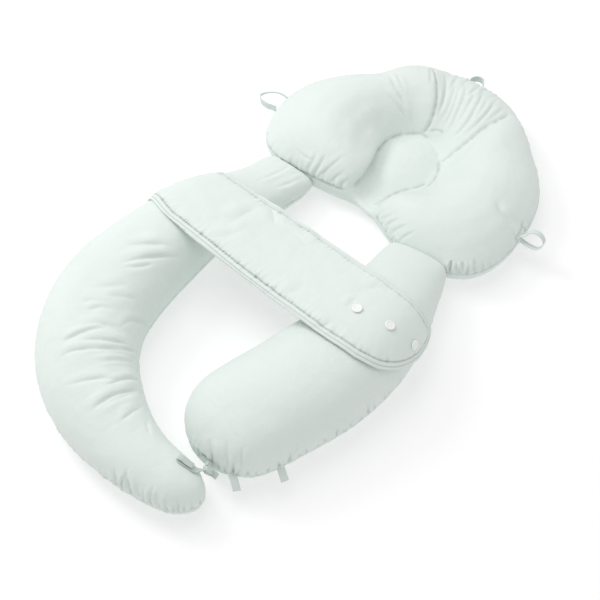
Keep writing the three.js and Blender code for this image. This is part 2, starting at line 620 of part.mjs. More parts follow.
const loops = { loop_left: LOOP_LEFT, loop_right: LOOP_RIGHT, loop_top: LOOP_TOP };
for (const [name, rows] of Object.entries(loops)) {
  addPiece(name, cutBy(tapeSolid(rows, TAPE_THICKNESS), swollenHead), cotton);
}
TABS.forEach((rows, i) => {
  addPiece(`tab_${i + 1}`, cutBy(tapeSolid(rows, TAB_LAYERS), swollenRight), cotton);
});
addPiece("tie", cutBy(tieSolid(), swollenLeft.add(swollenRight)), cotton);

const box = new THREE.Box3().setFromObject(pillow);
const middle = box.getCenter(new THREE.Vector3());
for (const mesh of pillow.children) mesh.position.sub(new THREE.Vector3(middle.x, middle.y, box.min.z));

export default pillow;
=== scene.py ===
# %% [markdown]
# # A baby's soothing pillow
# The real pillow is pale mint cotton over polyester filling: a head cushion with a hollow, two
# long arms that curve round the child, and a belly belt that closes with three plastic snaps.
# The solids of the part are already there as a fixed frame. This lesson dresses them: every
# cushion gets its soft skin, seams and creases, and the belt, tapes and snaps are made anew.

# %% Load the frame
import math

import bmesh
import bpy
import numpy as np
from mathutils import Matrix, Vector, noise
from mathutils.bvhtree import BVHTree


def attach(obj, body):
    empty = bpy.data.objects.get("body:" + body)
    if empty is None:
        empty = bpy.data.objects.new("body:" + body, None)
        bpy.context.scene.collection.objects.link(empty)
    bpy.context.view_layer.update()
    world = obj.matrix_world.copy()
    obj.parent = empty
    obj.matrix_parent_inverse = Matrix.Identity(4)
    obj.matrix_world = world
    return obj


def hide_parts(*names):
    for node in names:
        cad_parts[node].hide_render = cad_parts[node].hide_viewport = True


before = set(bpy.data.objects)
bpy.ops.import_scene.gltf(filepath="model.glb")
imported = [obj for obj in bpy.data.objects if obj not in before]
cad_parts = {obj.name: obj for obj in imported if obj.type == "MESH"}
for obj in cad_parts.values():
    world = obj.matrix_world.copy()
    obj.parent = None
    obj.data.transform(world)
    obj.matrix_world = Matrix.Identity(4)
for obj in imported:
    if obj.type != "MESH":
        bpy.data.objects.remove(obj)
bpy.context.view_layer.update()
print("frame pieces:", ", ".join(sorted(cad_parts)))

# %% [markdown]
# The maker's pattern is drawn in millimetres with x = 0 through the head. The frame has its origin
# under the middle of the pillow, so a pattern point is moved by a fixed amount and scaled.

# %% Pattern measures
MM = 0.001
PATTERN_SHIFT = np.array([28.22, -59.275, 0.0])


def in_frame(points):
    """Pattern points in millimetres, as frame points in metres."""
    return (np.asarray(points, float) + PATTERN_SHIFT) * MM


def in_pattern(points):
    """Frame points in metres, as pattern points in millimetres."""
    return np.asarray(points, float) / MM - PATTERN_SHIFT


print("pattern origin in the frame:", in_frame([0, 0, 0]))

# %% [markdown]
# ## Camera
# The photo looks down on the pillow from beyond its right arm. A long lens from 2.4 m keeps the
# far end nearly as large as the near end. The camera comes first, so that each piece can be
# compared with the photo as soon as it is made.

# %% Camera
CAMERA_AZIMUTH, CAMERA_ELEVATION = 32, 58
CAMERA_DISTANCE = 2.4
VIEW_WIDTH = 0.792
SENSOR = 36
look_at = Vector(in_frame([0, 0, 50]))


def direction(azimuth, elevation):
    """The way from the pillow to a place that is seen at these angles, in degrees."""
    a, e = math.radians(azimuth), math.radians(elevation)
    return Vector((math.sin(a) * math.cos(e), -math.cos(a) * math.cos(e), math.sin(e)))


def aimed(obj, towards, distance):
    """Stand a camera or a lamp this far from the pillow, and turn it to face the pillow."""
    obj.location = look_at + towards * distance
    obj.rotation_mode = "QUATERNION"
    obj.rotation_quaternion = (-towards).to_track_quat("-Z", "Y")
    bpy.context.scene.collection.objects.link(obj)
    return obj


camera_data = bpy.data.cameras.new("camera")
camera_data.sensor_width = SENSOR
camera_data.lens = SENSOR * CAMERA_DISTANCE / VIEW_WIDTH
camera = bpy.data.objects.new("camera", camera_data)
aimed(camera, direction(CAMERA_AZIMUTH, CAMERA_ELEVATION), CAMERA_DISTANCE)
bpy.context.scene.camera = camera
bpy.context.scene.view_settings.view_transform = "Standard"
print("lens:", round(camera_data.lens, 1), "mm")

# %% [markdown]
# ## Finishes
# Materials are built from nodes. A small class wraps a socket, so that shader maths reads as
# plain arithmetic, and one method makes every other node.


# %% Shader arithmetic
class Term:
    """A shader value that can be added, subtracted and multiplied like a number."""

    def __init__(self, finish, socket):
        self.finish = finish
        self.socket = socket

    def maths(self, operation, *values):
        return self.finish.node("ShaderNodeMath", {"operation": operation}, dict(enumerate(values)))

    def __add__(self, other):
        return self.maths("ADD", self, other)

    __radd__ = __add__

    def __sub__(self, other):
        return self.maths("SUBTRACT", self, other)

    def __rsub__(self, other):
        return self.maths("SUBTRACT", other, self)

    def __mul__(self, other):
        return self.maths("MULTIPLY", self, other)

    __rmul__ = __mul__

    def sine(self):
        return self.maths("SINE", self)


class Finish:
    """One material, and the nodes that it is made of."""

    def __init__(self, name):
        self.material = bpy.data.materials.new(name)
        self.material.use_nodes = True
        self.tree = self.material.node_tree
        self.shader = self.tree.nodes["Principled BSDF"]

    def node(self, kind, settings, values, output=0):
        """One node: its settings are set first, then its sockets get values or links."""
        made = self.tree.nodes.new(kind)
        for key, value in settings.items():
            setattr(made, key, value)
        for key, value in values.items():
            self.put(made.inputs[key], value)
        return Term(self, made.outputs[output])

    def put(self, socket, value):
        if isinstance(value, Term):
            self.tree.links.new(value.socket, socket)
        else:
            socket.default_value = value

    def set(self, **values):
        """Set the shader's own sockets, named with an underscore for each space."""
        for key, value in values.items():
            self.put(self.shader.inputs[key.replace("_", " ")], value)

    def place(self):
        return self.node("ShaderNodeTexCoord", {}, {}, "Object")

    def along(self, uv=False):
        """The three coordinates of the place, or of the piece's own UV map, as values."""
        source = self.node("ShaderNodeUVMap", {}, {}) if uv else self.place()
        parts = self.node("ShaderNodeSeparateXYZ", {}, {0: source})
        return [Term(self, socket) for socket in parts.socket.node.outputs]

    def grain(self, size_mm, detail=2.0):
        """Soft noise with grains of about this size."""
        return self.node(
            "ShaderNodeTexNoise", {},
            {"Vector": self.place(), "Scale": 1 / (size_mm * MM), "Detail": detail},
        )

    def blend(self, share, first, second):
        """A colour between two others. A Mix node's colours are its sockets 6 and 7."""
        return self.node("ShaderNodeMix", {"data_type": "RGBA"}, {0: share, 6: first, 7: second}, 2)

    def bump(self, height, distance_mm):
        return self.node(
            "ShaderNodeBump", {},
            {"Height": height, "Distance": distance_mm * MM, "Strength": 1.0},
        )


def linear(red, green, blue):
    """A colour as seen on a screen, from 0 to 255, as the shader's own linear colour."""
    channels = [value / 255 for value in (red, green, blue)]
    return tuple(((v + 0.055) / 1.055) ** 2.4 if v > 0.04 else v / 12.92 for v in channels) + (1.0,)


print("mid grey of a screen, as a linear colour:", [round(v, 3) for v in linear(128, 128, 128)])

# %% [markdown]
# Mint cotton is a soft matt plain weave. The threads are finer than a pixel of the photo, so they
# are a faint bump, and what shows is the cloth's slight crumple and a trace of uneven colour. An
# image of cloth could be laid on instead, but sines and noise follow every cushion without a
# stretch. Along seams, channels and tuck valleys the colour is darkened by a painted shade, for
# the shadow that falls into them.

# %% Cotton
THREAD_MM = 0.9
SLUB_MM, CRUMPLE_MM, PATCH_MM = 2.2, 26, 60
# the last colour is the painted shade of seams, channels and tuck valleys
COTTON_LIGHT, COTTON_DARK, PAINTED_SHADE_COLOUR = (233, 241, 237), (222, 232, 227), (128, 142, 134)
cotton = Finish("mint_cotton")
x, y, z = cotton.along()
turn = 2 * math.pi / (THREAD_MM * MM)
weave = (x * turn + z * turn).sine() * (y * turn).sine()
slub = cotton.grain(SLUB_MM, 3.0)
height = weave * 0.05 + slub * 0.25 + cotton.grain(CRUMPLE_MM) * 1.6
tone = cotton.grain(PATCH_MM, 1.0) * 0.5 + slub * 0.3 + weave * 0.04
cloth = cotton.blend(tone, linear(*COTTON_LIGHT), linear(*COTTON_DARK))
# painted shade: how dark each point is painted, read from the mesh's seam attribute
painted_seam_shade = cotton.node("ShaderNodeAttribute", {"attribute_name": "seam"}, {}, "Fac")
cotton.set(
    Base_Color=cotton.blend(painted_seam_shade * 0.75, cloth, linear(*PAINTED_SHADE_COLOUR)),
    Roughness=0.85 + slub * 0.1,
    Normal=cotton.bump(height, 1.0),
    Sheen_Weight=0.25,
    Sheen_Roughness=0.5,
)
mint_cotton = cotton.material
print("cotton:", len(cotton.tree.nodes), "nodes")

# %% [markdown]
# The tapes are woven of the same cotton and look a little duller. They are too narrow in the photo
# to show their threads, so a fine fleck and a tone that drifts slowly along the tape are enough.
# The drift follows the tape's own UV map, so that it stays with the tape round each bend. The
# tie's tape is a greyer copy of the same finish, a painted shade for the shadow that the tie lies
# in between the arms.

# %% Tape
FLECK_MM = 1.5
DRIFT_WAVE = 1.1  # a share of the tape's length


def tape_finish(name, colour, shade):
    finish = Finish(name)
    drift = (finish.along(uv=True)[0] * (2 * math.pi / DRIFT_WAVE)).sine()
    fleck = finish.grain(FLECK_MM)
    finish.set(
        Base_Color=finish.blend(fleck * 0.6 + drift * 0.1, linear(*colour), linear(*shade)),
        Roughness=0.9,
        Normal=finish.bump(drift * 0.3 + fleck * 0.4, 0.4),
        Sheen_Weight=0.2,
    )
    return finish.material


cotton_tape = tape_finish("cotton_tape", (224, 233, 229), (204, 215, 210))
# the tie's tape: the same finish made darker, a painted shade
shaded_tie_tape = tape_finish("shaded_tie_tape", (206, 216, 211), (178, 190, 184))
print("tapes:", cotton_tape.name, shaded_tie_tape.name)

# %% [markdown]
# The snaps are moulded white plastic with a satin skin. A plain white would do from afar. A speck
# of noise in the tone, the shine and the bump keeps their highlights from looking too perfect.

# %% Snap plastic
plastic = Finish("white_plastic")
speck = plastic.grain(0.8)
plastic.set(
    Base_Color=plastic.blend(speck * 0.4, linear(246, 248, 247), linear(236, 240, 238)),
    Roughness=0.32 + speck * 0.08,
    Normal=plastic.bump(speck, 0.02),
)
white_plastic = plastic.material
print("finishes:", [m.name for m in bpy.data.materials if m.users or m.use_nodes])

# %% [markdown]
# ## Lines and curves
# Every seam, crease and tape follows a line through a few measured points, in pattern millimetres.
# Curve objects could hold them, but the cloth has to be measured against them, so a smooth curve
# is worked out through the points instead.


# %% Curves
def lengths_along(points):
    """How far along the line each of its points lies."""
    steps = np.linalg.norm(np.diff(points, axis=0), axis=1)
    return np.concatenate([[0], np.cumsum(steps)])


def read_at(at, keys, places):
    """Places along a line, read between its own points."""
    return np.stack([np.interp(at, keys, places[:, k]) for k in range(3)], axis=1)


def curve_through(keys, rows, at):
    """A smooth curve through the rows of a table, read at other keys."""
    keys, rows, at = (np.asarray(v, float) for v in (keys, rows, at))
    rows = rows.reshape(len(keys), -1)
    slopes = np.gradient(rows, keys, axis=0)
    i = np.clip(np.searchsorted(keys, at, side="right") - 1, 0, len(keys) - 2)
    span = (keys[i + 1] - keys[i])[:, None]
    t = ((at - keys[i])[:, None] / span).clip(0, 1)
    first = (2 * t**3 - 3 * t**2 + 1) * rows[i] + (t**3 - 2 * t**2 + t) * span * slopes[i]
    return first + (3 * t**2 - 2 * t**3) * rows[i + 1] + (t**3 - t**2) * span * slopes[i + 1]


def smooth_line(rows, step=3.0):
    """A curve through the rows with a point every few millimetres."""
    rows = np.asarray(rows, float)
    keys = lengths_along(rows[:, :3])
    count = max(3, round(keys[-1] / step))
    return curve_through(keys, rows, np.linspace(0, keys[-1], count + 1))


print("a sample curve:", smooth_line([(0, 0, 0), (10, 5, 0), (20, 0, 0)], 5).round(1).tolist()[1])

# %% [markdown]
# A fold fades away to both sides of its line, so every point of the cloth has to know how far off
# the nearest line it is. Points beyond the line's reach are left out first, which saves most of
# the work, and the rest are measured a few thousand at a time, to spare memory.

# %% Distance from a line
BATCH = 2000


def near_line(points, line, reach):
    """For the points within reach of a line: which they are, how far off and how far along."""
    low, high = line.min(0) - reach, line.max(0) + reach
    which = np.flatnonzero(((points > low) & (points < high)).all(1))
    steps = np.diff(line, axis=0)
    lengths = lengths_along(line)
    away, along = np.full(len(which), np.inf), np.zeros(len(which))
    for first in range(0, len(which), BATCH):
        part = slice(first, first + BATCH)
        offset = points[which[part], None, :] - line[None, :-1]
        share = ((offset * steps).sum(2) / (steps**2).sum(1)).clip(0, 1)
        gaps = np.linalg.norm(offset - share[..., None] * steps, axis=2)
        best = gaps.argmin(1)
        rows = np.arange(len(best))
        away[part] = gaps[rows, best]
        along[part] = lengths[best] + share[rows, best] * np.linalg.norm(steps[best], axis=1)
    close = away < reach
    return which[close], away[close], along[close]


sample = near_line(np.array([[5.0, 4.0, 0.0]]), np.array([[0.0, 0.0, 0.0], [9.0, 0.0, 0.0]]), 8)
print("a point 4 mm off a line:", sample[1], "mm off,", sample[2], "mm along")

# %% [markdown]
# Nothing that is sewn by hand is quite even. A wave of noise along a line varies the folds, and
# because the noise is worked out from the place and a seed, it is the same on every run.

# %% Uneven waves
SEED_APART = 7.31
WAVE_HEIGHT = 1.8


def uneven(along, wave_mm, seed):
    """A random wave along a line, between about -1 and 1."""
    if not len(along):
        return along
    marks = np.arange(0, along.max() + 2)
    lanes = [Vector((mark / wave_mm, seed * SEED_APART, 0.5)) for mark in marks]
    return np.interp(along, marks, [noise.noise(lane) * WAVE_HEIGHT for lane in lanes])


print("a sample wave:", uneven(np.arange(0.0, 12.0, 3.0), 11, 1).round(2))

# %% [markdown]
# ## Cushions
# A cushion could be blown up by a cloth simulation, but the frame's solids already have the filled
# shape. So each cushion starts as an even copy of its solid. A voxel remesh gives square faces of
# one size, and a few passes of smoothing wash out the facets of the solid.

# %% Even copies
DOUBLES = 0.00001


def finished_mesh(obj):
    """The object's mesh with its modifiers worked in, and none left on it."""
    graph = bpy.context.evaluated_depsgraph_get()
    mesh = bpy.data.meshes.new_from_object(obj.evaluated_get(graph))
    obj.modifiers.clear()
    obj.data = mesh
    return obj


def new_piece(name, mesh, finish):
    obj = bpy.data.objects.new(name, mesh)
    bpy.context.scene.collection.objects.link(obj)
    mesh.materials.clear()
    mesh.materials.append(finish)
    return obj


def even_copy(node, name, voxel_mm, passes):
    """A soft, evenly meshed copy of a cushion's solid."""
    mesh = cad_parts[node].data.copy()
    shell = bmesh.new()
    shell.from_mesh(mesh)
    bmesh.ops.remove_doubles(shell, verts=shell.verts, dist=DOUBLES)
    shell.to_mesh(mesh)
    shell.free()
    obj = new_piece(name, mesh, mint_cotton)
    remesh = obj.modifiers.new("even", "REMESH")
    remesh.mode = "VOXEL"
    remesh.voxel_size = voxel_mm * MM
    remesh.use_smooth_shade = True
    soften = obj.modifiers.new("soften", "SMOOTH")
    soften.factor = 0.5
    soften.iterations = passes
    return finished_mesh(obj)


CUSHION_VOXEL, SMOOTHING = ((3.7, 26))
head, left_arm, right_arm = (
    even_copy(node, node + "_cover", CUSHION_VOXEL, SMOOTHING)
    for node in ("head_cushion", "left_arm", "right_arm")
)
for obj in (head, left_arm, right_arm):
    print(obj.name, len(obj.data.vertices), "points")

# %% [markdown]
# ## Seams
# Each cushion is two panels sewn together where it is widest. A long cushion's seam runs up one
# side, round the tip and back. The spine of each arm is given as points at the seam's height, and
# the seam is found by looking out sideways from the spine to the cloth. That keeps it on the cloth
# wherever the cloth goes, which a line drawn by hand would not.

# %% Spines
DOWN, UP = Vector((0, 0, -1)), Vector((0, 0, 1))
LEFT_SPINE = [
    (-128, 180, 37), (-146, 128, 41), (-166, 87, 44), (-188, 40, 45), (-201, -14, 46),
    (-212, -68, 46), (-218, -122, 46), (-211, -172, 46), (-191, -215, 46), (-165, -246, 45),
    (-133, -270, 44), (-95, -289, 43), (-54, -302, 42), (-12, -307, 40), (22, -306, 38),
]
RIGHT_SPINE = [
    (95, 156, 38), (97, 136, 42), (100, 103, 44), (103, 60, 46), (105, 12, 47), (99, -36, 48),
    (84, -86, 48), (63, -135, 48), (40, -180, 47), (20, -219, 45),
]
for label, spine in (("left", LEFT_SPINE), ("right", RIGHT_SPINE)):
    print(label, "spine:", round(lengths_along(np.array(spine, float))[-1]), "mm")


# %% Looking out to the cloth
OUTSIDE = 0.6  # metres, from where a ray looks back in


def tree_of(obj):
    """A search tree of the object's faces, in frame metres."""
    mesh = bmesh.new()
    mesh.from_mesh(obj.data)
    tree = BVHTree.FromBMesh(mesh)
    mesh.free()
    return tree


def cloth_beyond(tree, point, direction, inward=False):
    """Where a level ray meets the cloth, from inside or from outside looking in."""
    place = Vector(in_frame(point))
    way = Vector((direction[0], direction[1], 0)).normalized()
    if inward:
        place, way = place + way * OUTSIDE, -way
    hit = tree.ray_cast(place, way)[0]
    return None if hit is None else in_pattern(hit)


beside_spine = cloth_beyond(tree_of(left_arm), LEFT_SPINE[6], (-1, 0))
print("the cloth beside the left arm's spine:", beside_spine.round(1))

# %% [markdown]
# The seam sags a little below the widest place, because the weight of the filling pulls it down.
# The head cushion's seam is found from outside, and it sags most beside the right arm.

# %% Seam lines
ARM_SAG = 8
SPINE_STEP = 5
TIP_TURNS = np.radians(np.arange(85, -90, -5))
HEAD_MIDDLE = (0, 285)
HEAD_TURNS = np.radians(np.arange(0, 362, 1.5))
HEAD_SEAM_HEIGHT = 42
HEAD_SAG, HEAD_SAG_TURN, HEAD_SAG_REACH = 9, -1.13, 0.6


def bell(value):
    """1 at nought, and fading to nothing on both sides."""
    return np.exp(-value**2)


def arm_seam(tree, spine):
    """The seam's points up one side of an arm, round its tip and down the other side."""
    line = smooth_line(spine, SPINE_STEP) - (0, 0, ARM_SAG)
    ways = np.gradient(line, axis=0)
    sides = np.stack([-ways[:, 1], ways[:, 0]], axis=1)
    out = [cloth_beyond(tree, p, s) for p, s in zip(line, sides)]
    way, side = ways[-1][:2] / np.linalg.norm(ways[-1][:2]), sides[-1] / np.linalg.norm(sides[-1])
    for turn in TIP_TURNS:
        out.append(cloth_beyond(tree, line[-1], way * math.cos(turn) + side * math.sin(turn)))
    back = [cloth_beyond(tree, p, -s) for p, s in zip(line, sides)]
    return np.array([p for p in out + back[::-1] if p is not None])


def head_seam(tree):
    """The seam's points all round the head cushion."""
    ways = np.stack([np.cos(HEAD_TURNS), np.sin(HEAD_TURNS)], axis=1)
    turns = np.arctan2(ways[:, 1], ways[:, 0])
    levels = HEAD_SEAM_HEIGHT - HEAD_SAG * bell((turns - HEAD_SAG_TURN) / HEAD_SAG_REACH)
    found = [
        cloth_beyond(tree, (*HEAD_MIDDLE, level), way, inward=True)
        for way, level in zip(ways, levels)
    ]
    return np.array([p for p in found if p is not None])


def level_out(line):
    """The line with its small steps smoothed out and its ends kept."""
    line = line.copy()
    for _ in range(4):
        line[1:-1] = line[1:-1] * 0.5 + (line[:-2] + line[2:]) * 0.25
    return line


left_seam = level_out(arm_seam(tree_of(left_arm), LEFT_SPINE))
right_seam = level_out(arm_seam(tree_of(right_arm), RIGHT_SPINE))
rim_seam = level_out(head_seam(tree_of(head)))
for label, line in (("left", left_seam), ("right", right_seam), ("head", rim_seam)):
    print(label, "seam:", round(lengths_along(line)[-1]), "mm")

# %% [markdown]
# The head cushion is also sewn through round its hollow, and along the two creases that run from
# the hollow to the edge. These lines are measured from above and dropped onto the cloth. The
# hollow's lower edge has a second line, which gets a painted shadow and a shallow groove where a
# dark line shows beside its lip.

# %% Sewn channels
HOLLOW_LEFT = [
    (-27, 325), (-36, 314), (-42, 300), (-43, 277), (-39, 252), (-36, 226), (-36, 198),
]
HOLLOW_RIGHT = [
    (34, 313), (42, 298), (46, 276), (42, 257), (34, 240), (26, 224), (14, 209), (0, 197),
]
HOLLOW_TOP = [(-30, 321), (-18, 331), (-4, 336), (8, 334)]
HOLLOW_FAN = [(0, 335), (11, 330), (24, 323), (36, 310)]
HOLLOW_SHADOW = [
    (41, 270), (36, 261), (29, 252), (22, 244), (15, 235), (11, 227), (7, 219), (4, 211), (-4, 197),
]
CREASE_TOP = [
    (-6, 336), (-2, 348), (-3, 361), (-9, 379), (-18, 395), (-30, 411), (-44, 428),
]
CREASE_SIDE = [
    (36, 308), (43, 317), (52, 331), (62, 351), (71, 375), (80, 397), (88, 418),
]
HEAD_LINES = (
    HOLLOW_LEFT, HOLLOW_RIGHT, HOLLOW_TOP, HOLLOW_FAN, HOLLOW_SHADOW, CREASE_TOP, CREASE_SIDE,
)
HIGH_UP = 400


def dropped(tree, rows):
    """A curve seen from above, laid on the cloth."""
    flat = smooth_line(np.column_stack([rows, np.zeros(len(rows))]))
    places = in_frame(flat + (0, 0, HIGH_UP))
    return np.array([in_pattern(tree.ray_cast(Vector(place), DOWN)[0]) for place in places])


head_tree = tree_of(head)
head_lines = [dropped(head_tree, rows) for rows in HEAD_LINES]
print("sewn channels:", [round(lengths_along(line)[-1]) for line in head_lines], "mm")

# %% [markdown]
# ## Heights on the cloth
# Every seam, crease and wrinkle could be pushed into the cloth one after the other. Here each is a
# height along the cloth's own normals, faded by the distance from its line, and the heights are
# added up before the cloth is moved once. So no fold is bent by the one before it.

# %% Points and normals
def points_and_normals(obj):
    """The mesh's points in pattern millimetres, and its normals."""
    mesh = obj.data
    co = np.zeros(len(mesh.vertices) * 3)
    mesh.vertices.foreach_get("co", co)
    normals = np.zeros(len(mesh.vertices) * 3)
    mesh.vertex_normals.foreach_get("vector", normals)
    return in_pattern(co.reshape(-1, 3)), normals.reshape(-1, 3)


def put_points(obj, points):
    obj.data.vertices.foreach_set("co", in_frame(points).ravel())
    obj.data.update()


print("the head cushion's top:", round(points_and_normals(head)[0][:, 2].max(), 1), "mm up")

# %% [markdown]
# A seam pulls the cloth in along its line. The cloth beside it is a little too long, so it stands
# up in rounded puckers with sharp valleys between them.

# %% Drawn-in seams
PUCKERS_FULL = 4  # millimetres from the seam to where the puckers are full
PUCKER_LEVEL = 0.75
SLOW_WAVE = 50
FINE_WAVE = 0.4  # a share of the puckers' own wave
SEAM_ENDS = 6


def strength_at(points, base, spots):
    """A strength that rises near some spots, each given as x, y, reach and gain."""
    strength = np.full(len(points), float(base))
    for x, y, reach, gain in spots:
        strength += gain * bell(np.hypot(points[:, 0] - x, points[:, 1] - y) / reach)
    return strength


def off_the_ends(along, reach):
    """0 at both ends of a line, rising to 1 within this reach."""
    return (np.minimum(along, along.max() - along) / reach).clip(0, 1)


def seam_heights(
    points, line, depth=1.4, width=2.0, pucker=1.0, wave=11, fade=12, spots=(), deeper=(), seed=1,
):
    """The heights of one seam. Spots pucker more, and deeper spots are drawn in further."""
    heights = np.zeros(len(points))
    which, away, along = near_line(points, line, fade * 3)
    slow = 0.8 + 0.4 * uneven(along, SLOW_WAVE, seed + 3)
    strength = strength_at(points[which], 1, spots) * slow
    fine = np.abs(uneven(along, wave * FINE_WAVE, seed + 1))
    ridges = np.abs(uneven(along, wave, seed)) + 0.45 * fine
    spread = (away / PUCKERS_FULL).clip(0, 1) * np.exp(-(away / fade) ** 1.5)
    heights[which] += pucker * strength * (ridges - PUCKER_LEVEL) * spread
    drawn = strength_at(points[which], depth, deeper)
    widths = width * (1 + 0.25 * (drawn - depth))
    heights[which] -= drawn * off_the_ends(along, SEAM_ENDS) * bell(away / widths)
    return heights


sample = seam_heights(points_and_normals(left_arm)[0], left_seam)
print("a plain seam on the left arm:", sample.min().round(1), "to", sample.max().round(1), "mm")

# %% [markdown]
# A crease is a thin trough that tapers to both ends. The cloth that it takes in comes up beside it
# as a broad soft lip on its left-hand side, and a lower one on its right. Which side is which is
# told by crossing the cloth's normal with the way that the line runs.

# %% Creases
CREASE_STEP = 2.5
CREASE_REACH = 4
LIP_AT, BACK_AT, BACK_HEIGHT = 1.25, 1.4, 0.4  # shares of the lip's spread, and of its height
CHANGE_WAVE = 22


def snapped(tree, rows):
    """A curve through rows, moved onto the nearest cloth."""
    line = smooth_line(rows, CREASE_STEP)
    return np.array([in_pattern(tree.find_nearest(Vector(in_frame(p)))[0]) for p in line])


def beside(points, normals, line, reach):
    """Like near_line, but with the right-hand side negative, and the share of the way along."""
    which, away, along = near_line(points, line, reach)
    keys = lengths_along(line)
    nearest = read_at(along, keys, line)
    way = read_at(along, keys, np.gradient(line, axis=0))
    side = (np.cross(normals[which], way) * (points[which] - nearest)).sum(1)
    return which, np.where(side < 0, -away, away), along / keys[-1]


def fold_heights(points, normals, line, depth, width, lip, spread, seed):
    """The heights of one crease, with its trough's depth and width and its lip's size."""
    heights = np.zeros(len(points))
    which, away, share = beside(points, normals, line, max(width, spread) * CREASE_REACH)
    if not len(which):
        return heights
    taper = np.sin(np.pi * share.clip(0, 1)).clip(0, 1) ** 0.8
    along = share * lengths_along(line)[-1]
    change = (1 + 0.4 * uneven(along, CHANGE_WAVE, seed)).clip(0.2, 2)
    trough = -depth * bell(away / (width * (0.4 + 0.6 * taper)))
    ridge = lip * bell((away - LIP_AT * spread) / (spread * (0.45 + 0.55 * taper)))
    back = BACK_HEIGHT * lip * bell((away + BACK_AT * spread) / spread)
    heights[which] = taper * change * (trough + ridge + back)
    return heights


def facing_up(points):
    """A normal that points straight up, for each of the points."""
    return np.tile((0.0, 0.0, 1.0), (len(points), 1))


across = np.array([[0.0, y, 0.0] for y in range(-12, 13, 3)])
sample = smooth_line([(-20, 0, 0), (20, 0, 0)])
print(
    "across a sample crease:",
    fold_heights(across, facing_up(across), sample, 2, 2.4, 1.2, 5, 1).round(1).tolist(),
)

# %% [markdown]
# Where a long cushion is bent or crowded, its cloth also has low wrinkles across it, with no line
# that could be measured. Noise that is stretched across the spine gives them.

# %% Wrinkles across
WRINKLE_WAVE, WRINKLE_LENGTH = 12, 38
WRINKLE_REACH = 140
SPINE_FINE_STEP = 4
TOO_WEAK = 0.03


def cross_wrinkles(points, spine, height, spots, seed):
    """Uneven low wrinkles across a long cushion, strongest near some spots."""
    heights = np.zeros(len(points))
    line = smooth_line(spine, SPINE_FINE_STEP)
    which, away, share = beside(points, facing_up(points), line, WRINKLE_REACH)
    along = share * lengths_along(line)[-1]
    strength = strength_at(points[which], 0, spots)
    for k, (a, w) in enumerate(zip(along / WRINKLE_WAVE, away / WRINKLE_LENGTH)):
        if strength[k] > TOO_WEAK:
            rough = noise.noise(Vector((a, w, seed)))
            rough += 0.5 * noise.noise(Vector((a * 2.3, w * 1.7, seed + 9)))
            heights[which[k]] = height * strength[k] * (0.45 - 1.6 * abs(rough))
    return heights


print("wrinkles:", WRINKLE_WAVE, "mm apart and about", WRINKLE_LENGTH, "mm long")

# %% [markdown]
# A tuck is a short sharp pucker that starts at a seam, where a little cloth was caught. It is given
# only by the place on the seam, a length and a depth. Its line is walked up the cloth from there in
# small steps, leaning a little to one side or the other.

# %% Tucks
TUCK_STEP = 2
TUCK_REACH = 14
TUCK_WIDTH = 1.5
TUCK_LIP_AT, TUCK_LIP_WIDTH, TUCK_LIP_HEIGHT = 4, 2.4, 0.6
# strength of the painted shade in a tuck's valley
TUCK_PAINTED_SHADE = 0.3


def tuck_line(tree, seam, x, y, length):
    """The tuck's line up the cloth, from the seam's point that is nearest to a plan point."""
    start = np.hypot(seam[:, 0] - x, seam[:, 1] - y).argmin()
    place, way = Vector(in_frame(seam[start])), UP
    line = []
    for step in range(round(length * 0.75) + 3):
        place, normal = tree.find_nearest(place)[:2]
        line.append(in_pattern(place))
        way = (way - normal * way.dot(normal)).normalized()
        lean = normal.cross(way) * (0.5 * noise.noise(Vector((x, y, step / 9))))
        place = place + (way + lean) * TUCK_STEP * MM
    return np.array(line)


def tuck_heights(points, normals, line, depth):
    """The points near a tuck, their heights, and the painted shade in the tuck's valley."""
    which, away, share = beside(points, normals, line, TUCK_REACH)
    fade = (1 - share) * (share * 12).clip(0.3, 1)
    valley = bell(away / TUCK_WIDTH)
    ridge = bell((np.abs(away) - TUCK_LIP_AT) / TUCK_LIP_WIDTH)
    heights = depth * fade * (TUCK_LIP_HEIGHT * ridge - valley)
    return which, heights, TUCK_PAINTED_SHADE * depth * fade**2 * valley


sample = tuck_line(tree_of(left_arm), left_seam, -42, -347, 30)
print("a sample tuck rises", round(sample[-1][2] - sample[0][2], 1), "mm up the left arm")

# %% [markdown]
# ## The swell beside a channel
# Where the head cushion is sewn through, its filling is pushed aside, and the cloth beside the
# channel stands up in a soft roll. The solids have this only in part, so the cloth is swollen there
# before its finer folds are made. The swell is on the left-hand side of its line, so some lines
# are read backwards. The channels' lines are then moved onto the swollen cloth.

# %% Swollen sides
CHANNEL_HALF = 7
SWELL_REACH = 2.6
EVENING = 6
UPPER_END = 9  # the hollow's left side swells only below this point of its line


def evened_out(obj, values):
    """A value at each point of the mesh, averaged again and again with its neighbours."""
    ends = np.zeros(len(obj.data.edges) * 2, int)
    obj.data.edges.foreach_get("vertices", ends)
    one, other = ends.reshape(-1, 2).T
    size = len(obj.data.vertices)
    count = np.bincount(ends, minlength=size)
    for _ in range(EVENING):
        near = np.bincount(one, values[other], size) + np.bincount(other, values[one], size)
        values = (values + near / count) / 2
    return values


def swollen(obj, sides):
    """Push the cloth out beside its channels. A side is a line, a swell and how far it reaches."""
    points, normals = points_and_normals(obj)
    heights = np.zeros(len(points))
    for line, swell, reach in sides:
        which, away, share = beside(points, normals, line, reach * SWELL_REACH)
        rise = (1 - bell(away / CHANNEL_HALF)) * bell(away / reach) ** 1.5 * (away > 0)
        heights[which] = np.maximum(heights[which], swell * rise * np.sin(np.pi * share) ** 0.5)
    heights = evened_out(obj, heights)
    put_points(obj, points + normals * heights[:, None])
    print(obj.name, "swollen by up to", round(heights.max(), 1), "mm")


